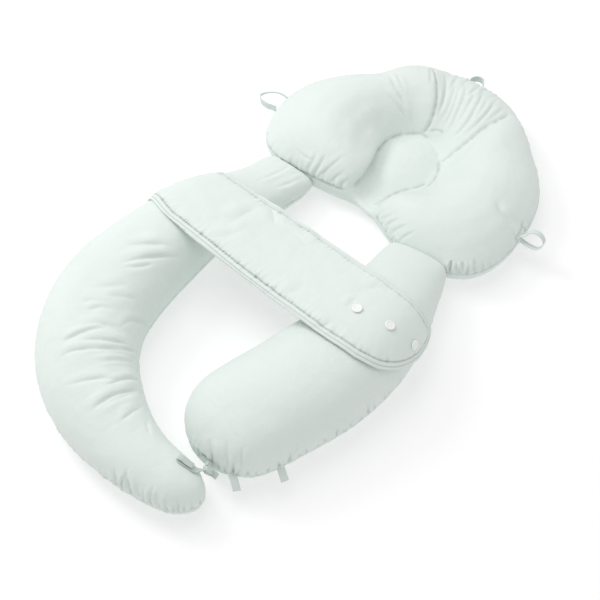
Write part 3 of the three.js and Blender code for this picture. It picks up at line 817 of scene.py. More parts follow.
hollow_left, hollow_right, hollow_top, _, _, crease_top, crease_side = head_lines
swollen(head, [
    (hollow_left[:UPPER_END:-1], 10, 34),
    (hollow_right, 4.5, 16),
    (hollow_top, 1.5, 12),
    (crease_top, 4, 14),
    (crease_side[::-1], 2.5, 14),
])
head_tree = tree_of(head)
hollow_left, hollow_right, hollow_top, hollow_fan, hollow_shadow, crease_top, crease_side = (
    snapped(head_tree, line) for line in head_lines
)

# %% [markdown]
# The folds need finer faces than the swell did. A finer remesh would take long. One level of
# subdivision halves the faces' sides and keeps them even, at under 200,000 triangles a cover.

# %% Finer cloth
for obj in (left_arm, right_arm, head):
    fine = obj.modifiers.new("fine", "SUBSURF")
    fine.levels = fine.render_levels = 1
    finished_mesh(obj)
    print(obj.name, len(obj.data.polygons) * 2, "triangles")

# %% [markdown]
# ## Dressing a cover
# One function adds up all the folds of a cushion's cover and moves its cloth once. It also works
# out the painted shade of each point, along seams, channels and tuck valleys, which the finish uses
# to darken the colour. Two cushions that are sewn together must not run into each other, so the
# cloth is held back close to a neighbour.

# %% Clear of the neighbours
NEIGHBOUR_REACH = 8
COVER_GAP = 0.4


def store_painted_shade(obj, values):
    """Store how much painted shade each point gets, for the finish to darken the colour by."""
    layer = obj.data.attributes.new("seam", "FLOAT", "POINT")
    layer.data.foreach_set("value", np.asarray(values, float).clip(0, 1))


def kept_clear(points, heights, neighbours):
    """Hold the heights back where another cushion is close by."""
    for tree in neighbours:
        for k, place in enumerate(in_frame(points)):
            distance = tree.find_nearest(Vector(place), NEIGHBOUR_REACH * MM)[3]
            if distance is not None:
                heights[k] = min(heights[k], distance / MM / 2 - COVER_GAP)
    return heights


print("held back within", NEIGHBOUR_REACH, "mm of a neighbour")

# %% [markdown]
# The creases of the tables look softer than in the photo when the light is on them. So all of them
# are made a little deeper and narrower here, in one place, and their lips a little higher.

# %% Dress
CREASE_DEEPER, CREASE_NARROWER, LIP_HIGHER = 1.45, 0.85, 1.1
UNDERSIDE = -0.3
# reach, width, end fade and wave of the painted shade along each seam line
STITCH_REACH, STITCH_WIDTH, STITCH_ENDS, STITCH_WAVE = 8, 1.9, 9, 6
RIPPLE = 0.3
BROAD_MM, SMALL_MM = 34, 13


def dress(obj, seams, creases, tucks, seed, neighbours, wrinkles=None):
    """Work folds into a cushion's cover. A seam is a line, the strength of its painted shade and
    its other sizes.
    """
    points, normals = points_and_normals(obj)
    tree = tree_of(obj)
    heights = np.zeros(len(points))
    if wrinkles:
        heights += (normals[:, 2] > UNDERSIDE) * cross_wrinkles(points, **wrinkles, seed=seed)
    for k, (line, _, options) in enumerate(seams):
        heights += seam_heights(points, line, seed=seed + 10 * k, **options)
    for k, (depth, width, lip, spread, rows) in enumerate(creases):
        sizes = depth * CREASE_DEEPER, width * CREASE_NARROWER, lip * LIP_HIGHER, spread
        heights += fold_heights(points, normals, snapped(tree, rows), *sizes, seed + k)
    # painted shade of the tuck valleys and seam lines, the darkest kept at each point
    painted_shade = np.zeros(len(points))
    for x, y, length, depth in tucks:
        line = tuck_line(tree, seams[0][0], x, y, length)
        which, height, shade = tuck_heights(points, normals, line, depth)
        heights[which] += height
        painted_shade[which] = np.maximum(painted_shade[which], shade)
    # painted shade along each seam and channel line
    for line, shade, _ in seams:
        which, away, along = near_line(points, line, STITCH_REACH)
        drawn = shade * off_the_ends(along, STITCH_ENDS) * bell(away / STITCH_WIDTH)
        drawn *= 0.75 + 0.5 * uneven(along, STITCH_WAVE, seed)
        painted_shade[which] = np.maximum(painted_shade[which], drawn)
    store_painted_shade(obj, painted_shade)
    broad = [noise.noise(Vector(p / BROAD_MM) + Vector((seed, 0, 0))) for p in points]
    small = [noise.noise(Vector(p / SMALL_MM) + Vector((0, seed, 0))) for p in points]
    heights += RIPPLE * (1.6 * np.array(broad) + 0.6 * np.array(small))
    heights = kept_clear(points, heights, [tree_of(other) for other in neighbours])
    points = points + normals * heights[:, None]
    points[:, 2] = np.maximum(points[:, 2], 0)
    put_points(obj, points)
    print(obj.name, "moved by up to", round(np.abs(heights).max(), 1), "mm")


print("creases are made", CREASE_DEEPER, "times as deep as in the tables")

# %% [markdown]
# ## Left arm
# The left arm is bent hard, so its cloth is pushed up on the inside of the bend. Long creases run
# across the bend there, and shorter ones run up from the seam near the tip. Each row gives a
# crease's depth and width, its lip's height and spread, and the points of its line.

# %% Left arm creases
LEFT_CREASES = [
    (0.9, 1.8, 0.9, 4.0, [(-128, 176, 42), (-131, 160, 51), (-138, 142, 59), (-148, 120, 66)]),
    (0.7, 1.8, 0.7, 3.5, [(-112, 174, 46), (-117, 163, 53)]),
    (1.0, 1.8, 0.8, 4.0, [(-104, 172, 46), (-109, 154, 54), (-121, 131, 62)]),
    (0.6, 1.8, 0.6, 3.5, [(-142, 181, 44), (-147, 168, 53)]),
    (1.6, 3.0, 1.6, 8, [(-208, -112, 112), (-196, -95, 111), (-179, -74, 104), (-156, -45, 86)]),
    (1.0, 2.6, 0.8, 5, [(-203, -114, 112), (-188, -101, 108), (-174, -82, 101)]),
    (0.9, 3.0, 1.0, 8, [(-211, -78, 111), (-191, -61, 108), (-173, -47, 101), (-164, -43, 94)]),
    (0.8, 4.0, 0.8, 9, [(-217, -160, 112), (-199, -146, 111), (-182, -128, 104)]),
    (0.8, 4.0, 0.9, 8, [(-218, -186, 112), (-199, -171, 112), (-183, -162, 107)]),
    (1.3, 2.4, 1.5, 5, [(-204, -244, 104), (-195, -228, 108), (-184, -212, 109),
                        (-167, -193, 104)]),
    (1.5, 2.4, 1.7, 6, [(-188, -233, 107), (-170, -218, 107), (-155, -207, 101), (-137, -190, 81)]),
    (2.2, 2.6, 2.0, 6, [(-196, -260, 101), (-185, -246, 106), (-168, -232, 106), (-144, -211, 97),
                        (-131, -184, 59)]),
    (1.1, 2.4, 1.2, 6, [(-168, -288, 94), (-149, -271, 100), (-130, -254, 99), (-117, -246, 92)]),
    (1.2, 2.2, 1.1, 5, [(-126, -266, 98), (-117, -248, 94), (-111, -233, 85), (-104, -219, 64)]),
    (2.0, 2.6, 1.9, 7, [(-121, -303, 90), (-117, -287, 94), (-111, -270, 94), (-103, -255, 90),
                        (-94, -234, 71)]),
    (1.2, 2.0, 1.2, 5, [(-112, -287, 94), (-103, -268, 93), (-93, -244, 81)]),
    (1.3, 2.4, 1.2, 6, [(-82, -290, 89), (-79, -272, 86), (-75, -252, 75)]),
    (1.0, 2.2, 0.9, 5, [(-62, -264, 75), (-52, -274, 78), (-42, -283, 78)]),
    (2.4, 2.6, 1.6, 6, [(-60, -338, 66), (-53, -345, 50), (-46, -345, 34)]),
    (2.4, 2.6, 1.6, 6, [(-43, -335, 68), (-35, -345, 52), (-30, -345, 34)]),
    (1.6, 2.4, 1.2, 6, [(-24, -338, 62), (-20, -345, 48), (-16, -345, 36)]),
    (1.4, 2.4, 1.0, 6, [(2, -336, 62), (4, -342, 48), (6, -342, 36)]),
    (3.2, 2.4, 0.8, 4, [(0, -281, 64), (10, -280, 62), (20, -278, 56), (28, -278, 48)]),
    (0.9, 3.2, 1.1, 8, [(-218, -84, 112), (-203, -70, 110), (-185, -59, 107), (-167, -50, 97)]),
    (1.0, 3.0, 1.3, 7, [(-196, -160, 111), (-181, -148, 105), (-164, -133, 93)]),
    (0.9, 3.0, 1.2, 7, [(-202, -191, 112), (-189, -175, 110), (-173, -168, 104)]),
    (0.9, 2.6, 1.1, 6, [(-200, -217, 111), (-180, -197, 110), (-159, -188, 100)]),
    (1.1, 2.6, 1.0, 6, [(-158, -186, 98), (-155, -164, 90), (-149, -152, 74), (-147, -135, 49)]),
    (0.8, 2.4, 0.9, 5, [(-148, -239, 102), (-138, -227, 97), (-123, -208, 76)]),
]
print("left arm:", len(LEFT_CREASES), "creases")

# %% [markdown]
# The seam puckers most round the tip, where the cloth is gathered for the turn. Tucks are rows of
# x, y, length and depth. They differ from place to place, so each was read off the photo.

# %% Left arm's cover
LEFT_PUCKERS = [
    (-60, -345, 60, 2.6), (20, -335, 50, 2.2), (-150, -310, 60, 0.8), (-120, 190, 45, 2.5),
]
LEFT_WRINKLES = {
    "spine": LEFT_SPINE,
    "height": 0.6,
    "spots": [
        (-150, -210, 75, 1), (-120, 150, 50, 0.8), (-90, -270, 50, 0.6), (-185, -80, 70, 0.5),
    ],
}
LEFT_TUCKS = [
    (-61, -346, 12, 1.8), (-54, -346, 16, 1.6), (-42, -347, 30, 3.0), (-34, -347, 20, 2.2),
    (-24, -346, 14, 1.6), (-16, -346, 20, 2.0), (-11, -345, 12, 1.4), (-4, -345, 26, 2.4),
    (6, -343, 18, 1.8), (12, -342, 12, 1.6), (19, -340, 22, 2.2), (26, -336, 14, 2.6),
    (31, -333, 22, 1.8), (37, -329, 16, 1.6), (43, -322, 12, 1.4), (48, -310, 10, 2.4),
    (-80, -344, 14, 1.0), (-97, -341, 12, 0.9), (-124, -333, 14, 0.8), (-156, -320, 12, 0.8),
    (-60, -264, 12, 1.2), (-50, -271, 14, 1.4), (-36, -278, 16, 1.4), (-24, -280, 14, 1.2),
    (-12, -282, 16, 1.4), (-96, -228, 14, 1.0), (-84, -244, 14, 1.2),
]
dress(
    left_arm,
    # 0.4 is the strength of the seam's painted shade
    [(left_seam, 0.4, {"pucker": 0.8, "wave": 7, "spots": LEFT_PUCKERS})],
    LEFT_CREASES,
    LEFT_TUCKS,
    seed=11,
    neighbours=[head],
    wrinkles=LEFT_WRINKLES,
)

# %% [markdown]
# ## Right arm
# The right arm is fuller and almost smooth. Its cloth puckers near the tie and along the seam.

# %% Right arm's cover
RIGHT_CREASES = [
    (1.6, 2.6, 1.2, 6, [(22, -248, 82), (30, -258, 66), (38, -262, 48)]),
    (1.4, 2.6, 1.2, 6, [(45, -242, 88), (51, -252, 74), (54, -259, 52)]),
    (1.4, 2.4, 1.0, 5, [(-2, -250, 46), (14, -259, 48), (28, -261, 38)]),
    (1.2, 2.4, 0.9, 5, [(64, -236, 84), (68, -246, 68), (70, -250, 52)]),
    (1.3, 2.4, 1.0, 5, [(110, -188, 70), (116, -198, 58), (120, -204, 48)]),
    (3.0, 2.4, 0.8, 4, [(10, -255, 54), (20, -261, 53), (32, -264, 50), (44, -262, 44)]),
]
RIGHT_PUCKERS = [
    (20, -260, 45, 2.4), (75, -250, 40, 1.6), (130, -190, 45, 1.6), (165, -120, 40, 1.2),
    (100, 170, 60, 0.8),
]
RIGHT_WRINKLES = {
    "spine": RIGHT_SPINE,
    "height": 1.0,
    "spots": [(40, -235, 60, 0.6), (110, 100, 60, 0.4)],
}
RIGHT_TUCKS = [
    (75, -250, 10, 1.6), (88, -241, 10, 1.4), (97, -230, 10, 2.4), (106, -217, 10, 2.4),
    (112, -206, 18, 2.8), (118, -194, 10, 1.2), (125, -183, 12, 1.6), (132, -170, 8, 1.0),
    (138, -159, 10, 2.0), (144, -146, 16, 2.6), (149, -132, 8, 0.9), (153, -121, 12, 1.4),
    (160, -103, 12, 1.4), (162, -92, 22, 2.4), (165, -82, 14, 1.6), (169, -68, 14, 1.6),
    (170, -56, 14, 1.2), (172, -34, 12, 0.8), (11, -256, 18, 1.4), (22, -259, 14, 1.8),
    (33, -262, 26, 2.6), (41, -262, 12, 1.6), (50, -261, 14, 2.0), (59, -258, 28, 2.8),
    (66, -255, 12, 2.0), (-2, -246, 14, 1.0),
]
dress(
    right_arm,
    # 0.4 is the strength of the seam's painted shade
    [(right_seam, 0.4, {"pucker": 0.8, "wave": 7, "spots": RIGHT_PUCKERS})],
    RIGHT_CREASES,
    RIGHT_TUCKS,
    seed=37,
    neighbours=[head],
    wrinkles=RIGHT_WRINKLES,
)

# %% [markdown]
# ## Head cushion
# The head cushion has the hollow's seam, two deep sewn creases with a fan of fine wrinkles
# between them, short pleats along the top, and puckers where the arms and loops are sewn in.

# %% Head creases
HEAD_CREASES = [
    (1.1, 2.0, 1.0, 4.0, [(24, 346, 40), (27, 356, 46), (26, 375, 54), (22, 400, 59),
                        (12, 428, 56)]),
    (1.1, 2.0, 1.1, 4.0, [(11, 356, 46), (11, 370, 52), (8, 390, 57), (1, 412, 59),
                        (-12, 441, 48)]),
    (1.1, 2.0, 1.1, 4.0, [(36, 340, 42), (42, 352, 48), (46, 377, 59), (44, 404, 62),
                        (36, 440, 52)]),
    (0.9, 2.0, 1.0, 4.0, [(48, 344, 46), (54, 356, 53), (60, 378, 59), (62, 406, 59),
                        (58, 442, 46)]),
    (1.0, 2.0, 1.0, 4.0, [(3, 362, 50), (1, 374, 55), (-4, 390, 58), (-12, 410, 60),
                        (-26, 430, 55)]),
    (0.8, 2.0, 0.8, 4.0, [(33, 362, 50), (35, 380, 56), (33, 402, 60), (27, 426, 56)]),
    (0.8, 2.0, 0.8, 4.0, [(18, 352, 42), (18, 370, 52), (14, 392, 58), (5, 418, 57)]),
    (0.7, 1.8, 0.7, 3.5, [(52, 372, 56), (54, 392, 60), (50, 420, 58)]),
    (0.7, 1.8, 0.7, 3.5, [(66, 380, 57), (72, 400, 57), (74, 424, 48)]),
    (1.6, 2.2, 1.4, 5, [(-86, 372, 76), (-68, 360, 77), (-56, 353, 71), (-40, 346, 60)]),
    (1.4, 2.0, 1.1, 4, [(-78, 379, 76), (-61, 366, 76), (-48, 357, 69)]),
    (1.4, 2.2, 1.2, 5, [(-76, 344, 76), (-53, 340, 65), (-39, 338, 53), (-30, 335, 41)]),
    (1.2, 2.0, 1.0, 4, [(-47, 424, 60), (-37, 409, 71), (-27, 390, 73)]),
    (1.2, 2.0, 1.0, 4, [(-8, 441, 50), (-6, 426, 56), (-2, 402, 59)]),
    (1.3, 2.2, 1.1, 4, [(28, 444, 50), (26, 421, 58), (24, 402, 61)]),
    (2.2, 3.0, 2.4, 9, [(150, 258, 79), (163, 249, 74), (175, 248, 67), (189, 248, 57)]),
    (1.8, 2.2, 1.0, 4, [(191, 270, 56), (196, 252, 50), (196, 236, 48)]),
    (0.9, 2.0, 0.7, 4, [(-128, 204, 60), (-112, 196, 60), (-98, 196, 62)]),
    (1.1, 2.0, 0.9, 4, [(-88, 182, 44), (-77, 194, 60), (-69, 207, 70), (-64, 220, 75)]),
    (1.0, 2.0, 0.8, 4, [(-95, 181, 43), (-89, 194, 61), (-88, 208, 72)]),
    (0.9, 2.0, 0.8, 4, [(-104, 184, 48), (-100, 196, 62), (-102, 208, 70)]),
    (1.0, 2.0, 0.8, 4, [(-70, 180, 42), (-60, 192, 58), (-52, 204, 66)]),
    (0.8, 2.0, 0.7, 4, [(-58, 176, 40), (-48, 186, 54), (-42, 196, 60)]),
    (1.1, 1.8, 0.8, 3.5, [(18, 168, 44), (28, 171, 52), (40, 177, 63)]),
    (1.0, 1.8, 0.7, 3.5, [(32, 160, 43), (41, 167, 55), (52, 174, 66)]),
    (1.1, 1.8, 0.8, 3.5, [(45, 152, 42), (54, 161, 57), (66, 169, 69)]),
    (0.9, 1.8, 0.7, 3.5, [(60, 146, 44), (70, 156, 60), (80, 164, 70)]),
    (3.2, 2.2, 1.0, 4, [(149, 131, 42), (146, 140, 56), (143, 148, 65)]),
    (1.8, 2.0, 0.7, 3.5, [(158, 136, 42), (154, 144, 56), (151, 150, 63)]),
    (3.0, 2.2, 1.0, 4, [(167, 142, 42), (162, 150, 56), (158, 156, 64)]),
    (2.4, 2.2, 0.9, 4, [(181, 158, 44), (175, 165, 57), (170, 170, 65)]),
]
print("head cushion:", len(HEAD_CREASES), "creases")

# %% Head puckers and tucks
HEAD_PUCKERS = [
    (160, 145, 45, 1.6), (100, 140, 50, 0.8), (-100, 180, 50, 1.0), (-150, 200, 35, 1.0),
    (40, 165, 35, 0.8), (196, 245, 30, 1.2), (20, 450, 60, 1.6), (-60, 420, 40, 0.8),
]
HEAD_TUCKS = [
    (138, 141, 10, 1.0), (147, 146, 12, 2.2), (157, 151, 10, 1.6), (166, 157, 14, 2.3),
    (174, 165, 8, 1.4), (181, 174, 10, 1.2), (188, 184, 8, 0.8), (120, 132, 10, 0.8),
    (98, 126, 8, 0.8), (82, 130, 10, 0.7), (-60, 172, 10, 1.2), (-78, 170, 16, 1.1),
    (-92, 172, 12, 1.3), (-104, 176, 14, 0.9), (-118, 182, 10, 1.0), (-132, 188, 10, 0.7),
    (-44, 170, 9, 1.1), (14, 172, 8, 1.1), (26, 166, 11, 1.2), (38, 158, 13, 1.5),
    (50, 150, 12, 1.2), (62, 143, 11, 1.0), (193, 236, 16, 1.6), (194, 258, 14, 1.8),
    (-10, 448, 18, 0.9), (8, 450, 24, 1.2), (24, 450, 18, 0.9), (40, 448, 22, 1.1),
    (58, 446, 24, 0.9), (-30, 444, 14, 0.8), (-52, 436, 12, 0.8), (-74, 426, 12, 0.7),
    (-166, 222, 9, 0.8), (-160, 210, 9, 0.8),
]
HEAD_DEEPER = [(-75, 172, 26, 3.0), (22, 166, 20, 3.0), (150, 130, 40, 1.6)]
print("head cushion:", len(HEAD_TUCKS), "tucks")

# %% [markdown]
# Each channel has its own depth. The thread was pulled tightest at the hollow's left side, and it
# is hardly drawn in at all across the fan.

# %% Head cover
def sewn(depth, width, pucker, deeper=(), fade=8):
    """The sizes of a channel that is sewn through both panels."""
    sizes = {"depth": depth, "width": width, "pucker": pucker}
    return {**sizes, "deeper": deeper, "fade": fade, "wave": 12}


right_side = sewn(1.6, 2.2, 0.6, [(20, 216, 28, 2.4)])
crease = sewn(2.6, 2.6, 0.6)
dress(
    head,
    [
        # the second value of each seam is the strength of its painted shade; the hollow_shadow line
        # is mostly painted shadow
        (rim_seam, 0.4, {"pucker": 0.8, "wave": 8, "spots": HEAD_PUCKERS, "deeper": HEAD_DEEPER}),
        (hollow_left, 0.45, sewn(2.2, 2.8, 0.7, [(-38, 240, 38, 4.8)])),
        (hollow_right, 0.5, right_side),
        (hollow_top, 0.3, right_side),
        (hollow_fan, 0.1, sewn(0.9, 3.0, 0.4)),
        (crease_top, 0.35, crease),
        (crease_side, 0.35, crease),
        (hollow_shadow, 0.45, sewn(0.6, 3.0, 0.2, fade=6)),
    ],
    HEAD_CREASES,
    HEAD_TUCKS,
    seed=53,
    neighbours=[left_arm, right_arm],
)

# %% [markdown]
# ## Cushions as pieces
# A cushion gives way under a hand. Each cover is shaded smooth and takes the place of its solid.
# From here on the cloth doesn't move, and search trees of the three covers keep the belt and the
# tapes clear of it.

# %% Cushions in place
def smooth_shaded(mesh):
    for face in mesh.polygons:
        face.use_smooth = True


for obj, node in ((head, "head_cushion"), (left_arm, "left_arm"), (right_arm, "right_arm")):
    smooth_shaded(obj.data)
    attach(obj, "root")
    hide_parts(node)
    print(obj.name, len(obj.data.polygons) * 2, "triangles")
cloth_trees = {"head": tree_of(head), "left": tree_of(left_arm), "right": tree_of(right_arm)}


# %% Clear of the cloth
def gap_to(tree, place):
    """How far a pattern point stands out of the cloth, and the cloth's normal there."""
    place = Vector(in_frame(place))
    near, normal = tree.find_nearest(place)[:2]
    away = place - near
    return math.copysign(away.length / MM, away.dot(normal)), np.array(normal)


def push_out(points, cloths, clear):
    """Move each point out of the cushions until it stands clear of their cloth."""
    clear = np.broadcast_to(clear, len(points))
    for _ in range(2):
        for cloth in cloths:
            for k, place in enumerate(points):
                gap, normal = gap_to(cloth_trees[cloth], place)
                place += normal * max(0, clear[k] - gap)


print("above the left arm:", round(gap_to(cloth_trees["left"], (-218, -122, 140))[0], 1), "mm")

# %% [markdown]
# ## Belly belt
# The belt is two layers of cotton with a thin wadding, turned and topstitched round its edge. It is
# sewn to the left arm and lies taut over both arms. Its middle surface is read off the frame's own
# belt, line by line, and a fine grid is laid on it, so that it keeps exactly that place.

# %% Belt outline
BELT_EDGES = np.array([
    (0.00, -256, 16, -206, 112),
    (0.12, -208, -11, -160, 102),
    (0.25, -160, -28, -112, 94),
    (0.50, -56, -50, -22, 79),
    (0.75, 60, -68, 78, 60),
    (1.00, 180, -74, 180, 46),
])
BELT_TIP_X = 110
BELT_TIP_REACH = np.array([
    (0, 14), (0.04, 36), (0.16, 62), (0.36, 84), (0.6, 100), (0.8, 106), (0.94, 100), (1, 80),
])
BELT_THICKNESS = 3.6
BELT_SAMPLES = 240
FIRST_LINE, LINES_SPREAD = 0.006, 0.988  # shares of the way across the belt
belt_tree = tree_of(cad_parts["belly_belt"])


def belt_middle(x, y):
    """The height of the belt's middle at a plan point, or None beside the belt."""
    place = Vector(in_frame([x, y, 0]))
    top = belt_tree.ray_cast(place + UP, DOWN)[0]
    foot = belt_tree.ray_cast(place - UP, UP)[0]
    return None if top is None or foot is None else (top.z + foot.z) / 2 / MM


def belt_line(across):
    """One line of points along the belt, at a share of the way across it."""
    edges = curve_through(BELT_EDGES[:, 0], BELT_EDGES[:, 1:], np.linspace(0, 1, BELT_SAMPLES))
    inner = FIRST_LINE + across * LINES_SPREAD
    plan = edges[:, :2] * (1 - inner) + edges[:, 2:] * inner
    heights = [belt_middle(x, y) for x, y in plan]
    return np.array([(x, y, z) for (x, y), z in zip(plan, heights) if z is not None])


print("belt's middle line:", round(lengths_along(belt_line(0.5))[-1]), "mm")

# %% [markdown]
# The stitches and the rolled edge are fine, and the middle of the belt is plain. So the grid's
# lines crowd together at both long edges and at the tip, and stand further apart between them.

# %% Belt grid
BELT_ACROSS, BELT_ALONG = ((98, 350))
BELT_EASING = 40


def crowded(count, first, last, reach=0.1):
    """Shares from 0 to 1 that crowd together at one end or at both."""
    marks = np.linspace(0, 1, 2001)
    density = 1 + first * bell(marks / reach) + last * bell((1 - marks) / reach)
    total = np.concatenate([[0], np.cumsum((density[1:] + density[:-1]) / 2)])
    return np.interp(np.linspace(0, 1, count + 1), total / total[-1], marks)


def eased(grid, passes):
    """A grid of points with its facets smoothed out. Its border is smoothed only along itself."""
    grid = grid.copy()
    for _ in range(passes):
        inner = grid[1:-1, 1:-1]
        around = grid[:-2, 1:-1] + grid[2:, 1:-1] + grid[1:-1, :-2] + grid[1:-1, 2:]
        grid[1:-1, 1:-1] = inner * 0.5 + around * 0.125
        for edge in (grid[0], grid[-1], grid[:, 0], grid[:, -1]):
            edge[1:-1] = edge[1:-1] * 0.5 + (edge[:-2] + edge[2:]) * 0.25
    return grid


across_shares = crowded(BELT_ACROSS, 1.2, 1.2)
along_shares = crowded(BELT_ALONG, 0, 0.9, 0.05)
belt_reach = curve_through(BELT_TIP_REACH[:, 0], BELT_TIP_REACH[:, 1], across_shares)[:, 0]
belt_grid = np.zeros((BELT_ACROSS + 1, BELT_ALONG + 1, 3))
for j, across in enumerate(across_shares):
    line = belt_line(across)
    keys = lengths_along(line)
    tip_key = np.interp(BELT_TIP_X, line[:, 0], keys)
    last = min(tip_key + belt_reach[j], keys[-1])
    belt_grid[j] = read_at(last * along_shares, keys, line)
belt_grid = eased(belt_grid, BELT_EASING)

# %% [markdown]
# The belt is topstitched about 10 mm inside its lower edge and 7 mm inside its upper one. The
# stitches pull the two layers together, and the cloth beside them gathers in small sharp puckers,
# most of all along the lower edge. For this each point of the grid is measured from the border.

# %% Belt border
BORDER_REACH = 60
points = belt_grid.reshape(-1, 3)
ways = [np.gradient(belt_grid, axis=k).reshape(-1, 3) for k in (0, 1)]
normals = np.cross(ways[1], ways[0])
normals /= np.linalg.norm(normals, axis=1)[:, None]
border = np.concatenate([
    belt_grid[0, :-1],
    belt_grid[:-1, -1],
    belt_grid[-1, :0:-1],
    belt_grid[:0:-1, 0],
    belt_grid[:1, 0],
])
inside, round_border = np.full(len(points), float(BORDER_REACH)), np.zeros(len(points))
which, inside_near, border_key = near_line(points, border, BORDER_REACH)
inside[which], round_border[which] = inside_near, border_key
print("stitched edge:", round(border_key.max()), "mm")

# %% [markdown]
# The belt also has its own folds, where it is pulled over the arms and where it sags between them.
# They are rows like the cushions' creases. Places round the border are counted in millimetres from
# the lower corner of the sewn end: the lower edge first, then the tip, and back along the upper.

# %% Belt stitching
BELT_FOLDS = [
    (0.3, 6.0, 0.8, 16, [(-200, 30, 103), (-174, 23, 106), (-153, 5, 109)]),
    (0.7, 3.5, 1.0, 9, [(-127, 91, 86), (-106, 84, 88), (-86, 79, 90)]),
    (0.7, 3.5, 1.0, 9, [(-107, 89, 86), (-88, 75, 91), (-74, 55, 96)]),
    (0.6, 4.0, 1.2, 11, [(-124, 18, 105), (-118, 46, 99), (-109, 77, 90)]),
    (0.7, 3.5, 1.0, 9, [(-131, -17, 112), (-112, 7, 108), (-98, 31, 104)]),
    (0.5, 4.0, 1.0, 12, [(-68, 52, 97), (-45, 58, 96), (-18, 48, 100)]),
    (0.6, 3.5, 0.9, 9, [(-52, 80, 90), (-33, 65, 95), (-17, 57, 97)]),
    (0.5, 4.0, 0.9, 11, [(-6, -42, 117), (5, -32, 117), (18, -17, 116)]),
    (0.8, 3.0, 0.8, 6, [(79, -18, 120), (80, -6, 119), (81, 7, 117)]),
    (0.6, 4.0, 0.9, 10, [(79, 21, 114), (97, 39, 112), (119, 50, 109)]),
    (0.7, 3.5, 0.9, 8, [(60, -66, 122), (67, -58, 123), (76, -45, 123)]),
]
STITCH_IN, UPPER_NEARER = 10.5, 3.5
GATHER_WAVES, GATHER_LEVEL, GATHER_FADE = (5, 11), 0.7, 7
BELT_LIFT = 2.1
BROAD_RIPPLE_MM, SMALL_RIPPLE_MM = 32, 12


def hills(base, *rows):
    """A value round the border: a base, with hills given as a height, a place and a reach."""
    value = base
    for height, place, reach in rows:
        value = value + height * bell((round_border - place) / reach)
    return value


upper = hills(0, (1.4, 900, 230)).clip(0, 1)
beyond = inside - STITCH_IN + UPPER_NEARER * upper
gain = hills(0.5, (1.0, 190, 190), (0.15, 850, 120))
# how strongly the painted shade shows round the border
shown = hills(0.25, (0.75, 200, 330), (0.2, 900, 130))
fine, broad = (np.abs(uneven(round_border, wave, 91 + k)) for k, wave in enumerate(GATHER_WAVES))
gathers = fine + 0.5 * broad - GATHER_LEVEL
faded = np.exp(-np.maximum(beyond, 0) / GATHER_FADE)
spread = np.where(beyond > 0, faded, 0.4 * inside / STITCH_IN)
lift = BELT_LIFT * gain * gathers * spread
print("the gathers stand up to", round(lift.max(), 1), "mm high")
for k, (*sizes, rows) in enumerate(BELT_FOLDS):
    lift += BELT_LIFT * fold_heights(points, normals, smooth_line(rows), *sizes, 70 + k)
lift += [
    0.7 * noise.noise(Vector(p / BROAD_RIPPLE_MM)) + 0.25 * noise.noise(Vector(p / SMALL_RIPPLE_MM))
    for p in points
]

# %% [markdown]
# At the sewn end the belt turns down a little onto the arm. The pinch tells how much of the belt's
# thickness is left, since stitches and rolled edge press the wadding flat, and a painted shade
# darkens the row of stitches, the gathers' valleys and the groove of the rolled edge, where shadow
# falls into them.

# %% Belt pinch
SEWN_END_X, SEWN_END_REACH, SEWN_END_EDGE, SEWN_END_DOWN = -240, 60, 14, 2.2
ROLL_IN, ROLL_WIDE = 4.0, 0.8
PRESSED_WIDE, EDGE_WIDE, PADDED_FROM = 1.1, 1.2, 9
# the painted stitch dashes' spacing and width, and where the painted shade lies in the gathers'
# valleys
STITCH_SPACING, STITCH_SHADE_WIDE = 5.3, 1.15
VALLEY_LEVEL, VALLEY_AT, VALLEY_REACH = 0.22, 1.5, 3
BELT_GAP = 0.4
sewn_end = bell(inside / SEWN_END_EDGE) * bell((points[:, 0] - SEWN_END_X) / SEWN_END_REACH)
lift -= SEWN_END_DOWN * sewn_end
belt_points = (points + normals * lift[:, None]).reshape(belt_grid.shape)
groove = bell((inside - ROLL_IN) / ROLL_WIDE)
pinch = 1 - 0.85 * bell(beyond / PRESSED_WIDE) - 0.6 * groove - 0.4 * bell(inside / EDGE_WIDE)
pinch += 0.3 * (1 - bell(beyond / PADDED_FROM)) * (beyond > 0)
# painted stitch dashes along the border
stitch_waves = np.cos(round_border * (2 * math.pi / STITCH_SPACING))
stitch_dash_shade = 0.85 + 0.2 * stitch_waves * gain + 0.2 * uneven(round_border, 4, 93)
valleys = bell((gathers + GATHER_LEVEL) / VALLEY_LEVEL)
valleys = valleys * bell((beyond - VALLEY_AT) / VALLEY_REACH)
# painted shade along the stitch line, in the gathers' valleys and in the rolled edge's groove
belt_painted_shade = shown * stitch_dash_shade * bell(beyond / STITCH_SHADE_WIDE) + 0.55 * shown * groove
belt_painted_shade += 0.9 * gain * valleys
push_out(belt_points.reshape(-1, 3), ["left", "right"], BELT_THICKNESS * pinch / 2 + BELT_GAP)
print("belt moved by up to", round(np.abs(lift).max(), 1), "mm")

# %% [markdown]
# A sheet's mesh is a grid whose points are put in their places. Its thickness comes from a Solidify
# modifier, half to each side, and for the belt a vertex group thins it where it is pinched.

# %% Sheets
def smooth_piece(name, mesh, finish):
    """A smooth piece made from a bmesh."""
    data = bpy.data.meshes.new(name)
    mesh.to_mesh(data)
    mesh.free()
    smooth_shaded(data)
    return new_piece(name, data, finish)


